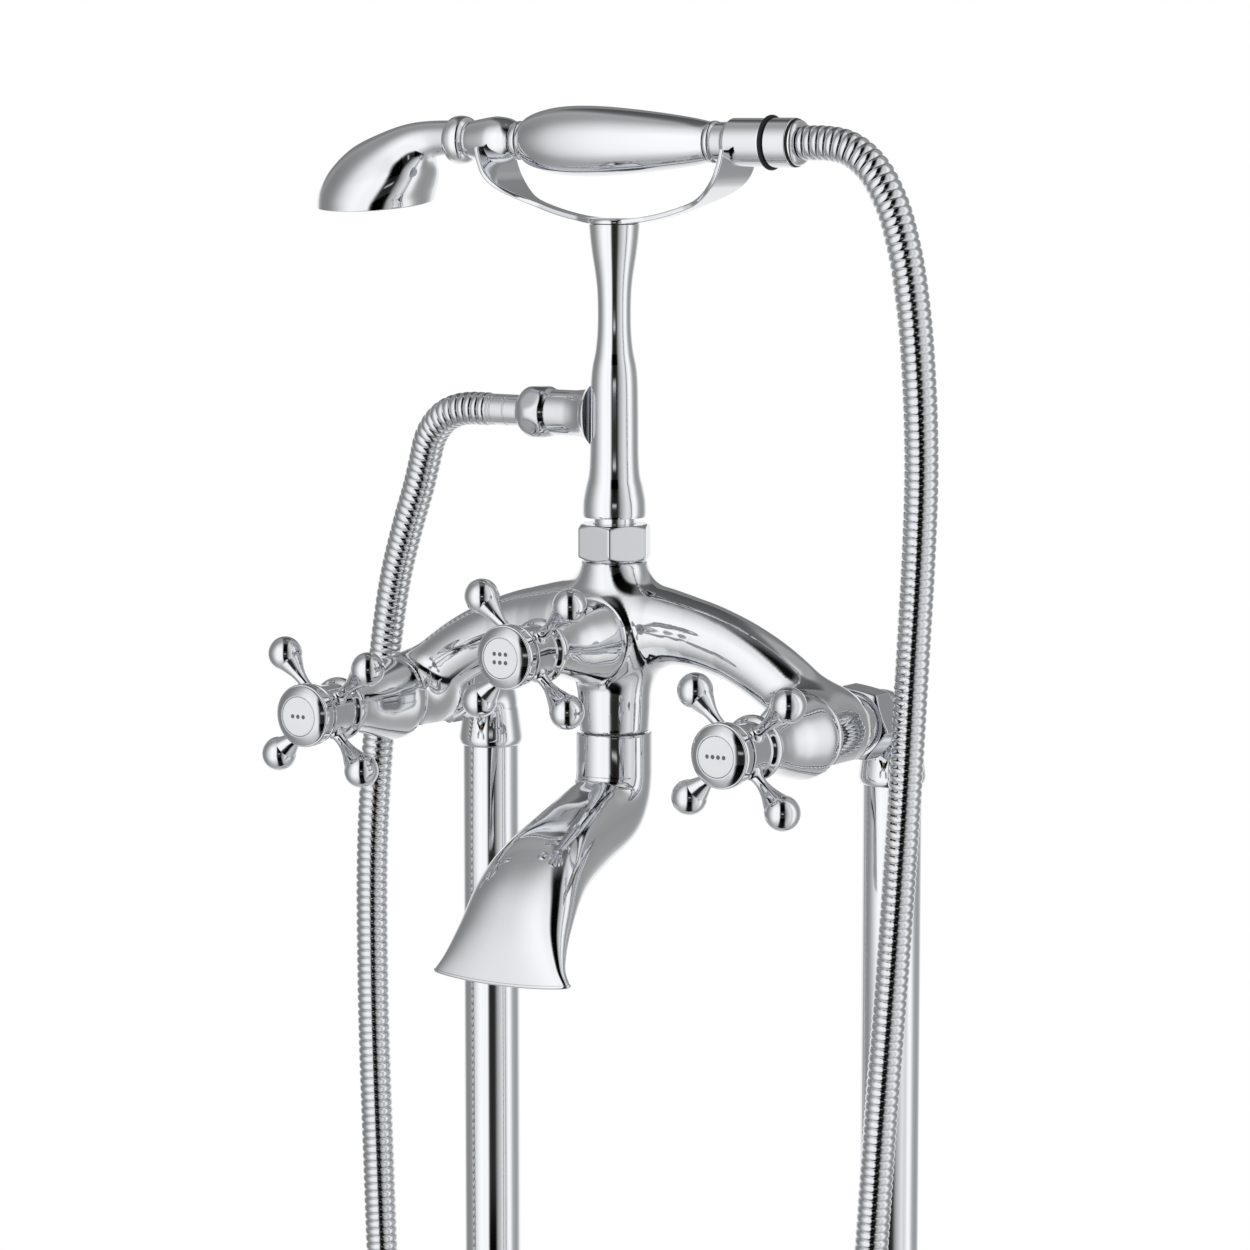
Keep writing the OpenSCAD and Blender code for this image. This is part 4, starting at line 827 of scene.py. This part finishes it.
front_seal = [(8, 66.25), (9.6, 66.25), (9.9, 66.6), (9.9, 67.25), (9.6, 67.6), (8, 67.6)]
rear_seal = [(4.2, 77.05), (8.5, 77.05), (8.7, 77.2), (8.7, 77.45), (8.5, 77.6), (4.2, 77.6)]
seals = joined(turned(front_seal, hand_place, 0.3, loop=True), turned(rear_seal, hand_place, 0.1, loop=True))
piece("nut_seals", seals, rubber, "handset", "rubber", "handset_seals")

# Spray head
# A cast brass bell, bent down at the end of the neck, with a soft ridge on each
# side of its belly. The nozzle plate sits in its mouth, a little above the rim.
# Each station is how far out and down its back and its belly are, and its width.
head_place = frame_at(0, -setback, hand_z, ("X", 7))
head_from = -72.0
head_len = 60.2
head_drop = 24.2
head_r = 22.3
head_stations = [
    (0, -0.3, 0, 0.24, 0.285), (0.17, -0.29, 0.1, 0.25, 0.3), (0.34, -0.24, 0.165, 0.30, 0.37),
    (0.525, -0.11, 0.197, 0.42, 0.51), (0.73, 0.1, 0.207, 0.58, 0.71), (0.89, 0.42, 0.224, 0.74, 0.88),
    (0.98, 0.76, 0.243, 0.88, 0.98), (1, 1, 0.257, 1, 1),
]


def head_ring(station, inset=0.0):
    back = np.array((head_from - station[0] * head_len, -station[1] * head_drop))
    belly = np.array((head_from - station[2] * head_len, -station[3] * head_drop))
    middle, out = (back + belly) / 2, (back - belly) / 2
    out *= 1 - inset / np.linalg.norm(out)
    turn = 2 * math.pi * np.arange(112) / 112
    ridge = 0.09 * math.sin(math.pi * min(max((station[0] - 0.3) / 0.7, 0), 1)) ** 0.6
    swell = 1 + ridge * np.sin(2 * turn) ** 2 * (np.cos(turn) < 0)
    c = middle + (swell * np.cos(turn))[:, None] * out
    across = (station[4] * head_r - inset) * swell * np.sin(turn)
    return moved(np.stack([c[:, 0], across, c[:, 1]], 1), head_place)


head_path = smooth(head_stations, 9)
mouth = [head_ring(s) for s in head_path]
rim_roll = [(0.2, 0.2), (0.6, 0.3), (1.2, 0.3), (1.8, 0.1)]
mouth += [head_ring(head_path[-1], inset) + (0, 0, -depth) for inset, depth in rim_roll]
mouth += [head_ring(head_path[-1], 2.3), head_ring(head_path[-1], 2.3) + (0, 0, 5)]
piece("bell_head", lofted(mouth), cast_chrome, "handset", "chrome", "handset_head")

# Spray plate
# A grey moulded plate with a raised ring near its edge and 61 soft nozzles in
# rings, each a small cone with a hole.
face_x = head_from - head_len + head_r
plate_place = head_place @ frame_at(face_x, 0, -head_drop + 0.8)
plate_edge = [(0.01, 0.3), (17.6, 0.3), (18, 0), (19, 0), (19.4, 0.4), (19.9, 0.6), (19.9, 3), (0.01, 3)]
nozzle = [(0.35, 0.9), (1.35, 0.9), (1.2, -0.1), (0.75, -0.55), (0.35, -0.55)]
# Moulded polymer in the grey of satin metal, with a fine mould grain.
spray_grey, tree, out, spot = new_finish("satin grey moulded polymer")
grain = add(tree, "ShaderNodeTexNoise", {"Scale": 1 / (0.4 * MM), "Detail": 3}, Vector=spot)
tone = add(tree, "ShaderNodeMix", {"data_type": "RGBA", "A": linear("#A9ACB0"), "B": linear("#BABDC1")},
           i0=grain.outputs[0])
bump = add(tree, "ShaderNodeBump", {"Strength": 0.4, "Distance": 0.02 * MM}, Height=grain.outputs[0])
plate = add(tree, "ShaderNodeBsdfPrincipled", {"Roughness": 0.38}, Base_Color=tone.outputs["Result"],
            Normal=bump.outputs[0])
tree.links.new(plate.outputs[0], out.inputs["Surface"])
nozzles = []
row_step = 4.1
for row, count in enumerate((1, 6, 12, 18, 24)):
    for k in range(count):
        spread = 2 * math.pi * k / count
        spot_place = plate_place @ frame_at(row_step * row * math.cos(spread),
                                            row_step * row * math.sin(spread), 0)
        nozzles.append(turned(nozzle, spot_place, 0.15, 16, loop=True))
spray_face = joined(turned(plate_edge, plate_place, 0.25, 96), *nozzles)
piece("nozzle_plate", spray_face, spray_grey, "handset", "spray_plastic", "spray_plate")

# Hose outlet
# A short six-sided nut with a turned belly, and the plain ferrule that the hose
# is crimped into.
outlet_nut = frame_at(-26.4, -setback, 850, ("Y", -90))
nut_steps = 216
outlet_flat = 9.5
turn = 2 * math.pi * np.arange(nut_steps) / nut_steps
face = sum(np.clip(np.cos(turn - math.radians(60 * k)), 0, 1) ** 70 for k in range(6))
face = face ** (-1 / 70) * outlet_flat
belly = smooth([(8, 0), (9.4, 2.1), (10.1, 5.3), (10.1, 7.9), (9, 11.1), (7, 13.2)], 6)
rings = []
for r, h in [(6.2, 0)] + belly + [(6.2, 13.2)]:
    wall = -np.log(np.exp(-6 * face) + np.exp(-6 * r)) / 6
    ring = np.stack([wall * np.cos(turn), wall * np.sin(turn), np.full(nut_steps, h)], 1)
    rings.append(moved(ring, outlet_nut))
piece("outlet_hexagon", lofted(rings, loop=True), nut_chrome, "stand", "chrome", "hose_nut_outlet", parted=50)
ferrule = [(4, 34.4), (5.85, 34.4), (5.85, 45.8), (5.6, 46), (5.6, 46.4), (5.85, 46.6), (5.85, 51.8),
           (5.6, 52), (5.6, 52.4), (5.85, 52.6), (5.85, 53.3), (5.6, 53.5), (5.6, 53.8), (5.85, 54),
           (5.85, 55), (4, 55)]
piece("hose_ferrule", turned(ferrule, branch_place, 0.12, loop=True), tube_chrome, "stand", "chrome",
      "ferrule_outlet")
coat(rubber, "outlet_washer")

# Hose
# A 1.5 m shower hose of interlocked strip, chrome plated: each turn is a rounded
# pad with a narrow dark seam beside it. It hangs in one loop from the column's
# branch to the handset. Knots are x, y, z in mm from the column's axis, with z
# from the valves' height, as in the part's source.
hose_knots = [
    [-55, 0, 110], [-59, 0, 110], [-63, 0, 110], [-70, 0, 109], [-76, 0.5, 106.5], [-81, 1.5, 102.5],
    [-85, 2.5, 97], [-88, 4, 90], [-91.5, 5, 80], [-97.5, 6.5, 65.5], [-105, 8.5, 45],
    [-112, 11, 17], [-118, 14, -18], [-122, 15, -60], [-122.5, 15, -115],
    [-120.5, 15, -185], [-117, 15, -260], [-109, 15, -335], [-94, 15, -404],
    [-67, 15, -463], [-22, 15, -496], [24, 15, -488], [60, 15, -442], [80, 15, -380],
    [92, 15, -306], [99.5, 15, -230], [105, 15, -155], [110.5, 15, -85], [115, 14.5, -24],
    [119, 12.5, 27], [123, 9, 65], [126, 5, 96], [127, 1, 127], [125, 0, 153], [121, 0, 174],
    [115.5, 0, 190], [108, 0, 201.5], [99, 0, 208], [88, 0, 210], [84, 0, 210], [79.85, 0, 210],
]
hose_route = [np.array([x, y - setback, z + valve_h]) for x, y, z in hose_knots]
hose_r = 6.25
rib_pitch = 3.0
rib_shape = [(0.0, 0.905), (0.06, 0.925), (0.15, 0.965), (0.3, 0.992), (0.5, 1), (0.7, 0.992),
             (0.85, 0.965), (0.94, 0.925)]
hose_sides = 32


def slope(points, k):
    """The direction of a route at one of its points, weighed by the steps beside it."""
    if k in (0, len(points) - 1):
        step = points[1] - points[0] if k == 0 else points[-1] - points[-2]
        return step / np.linalg.norm(step)
    before, after = points[k] - points[k - 1], points[k + 1] - points[k]
    a, b = np.linalg.norm(before), np.linalg.norm(after)
    return (after * a / b + before * b / a) / (a + b)


def swept(points, steps):
    """A smooth line through points that stand at uneven steps."""
    line = []
    for k in range(len(points) - 1):
        h = np.linalg.norm(points[k + 1] - points[k])
        for t in np.arange(steps) / steps:
            ease = t * t * (3 - 2 * t)
            line.append(points[k] * (1 - ease) + points[k + 1] * ease
                        + h * t * (1 - t) * ((1 - t) * slope(points, k) - t * slope(points, k + 1)))
    return np.array(line + [points[-1]])


hose_chrome = chrome_plate("chrome plated steel strip", "#DDDFE2", 0.06, 6, 0.0008)
hose_line = swept(hose_route, 24)
hose_runs = np.concatenate([[0], np.cumsum(np.linalg.norm(np.diff(hose_line, axis=0), axis=1))])
hose_len = float(hose_runs[-1])
rib_count = round(hose_len / rib_pitch)
stations = np.array([i + s for i in range(rib_count) for s, _ in rib_shape] + [rib_count])
stations = stations * hose_len / rib_count
rib_radii = [hose_r * w for _ in range(rib_count) for _, w in rib_shape] + [hose_r * rib_shape[0][1]]
rib_line = np.stack([np.interp(stations, hose_runs, hose_line[:, k]) for k in range(3)], 1)
hose = piece("ribbed_hose", lofted(tube_rings(rib_line, rib_radii, hose_sides)), hose_chrome, None,
             "hose_steel", "hose")
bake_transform(hose)
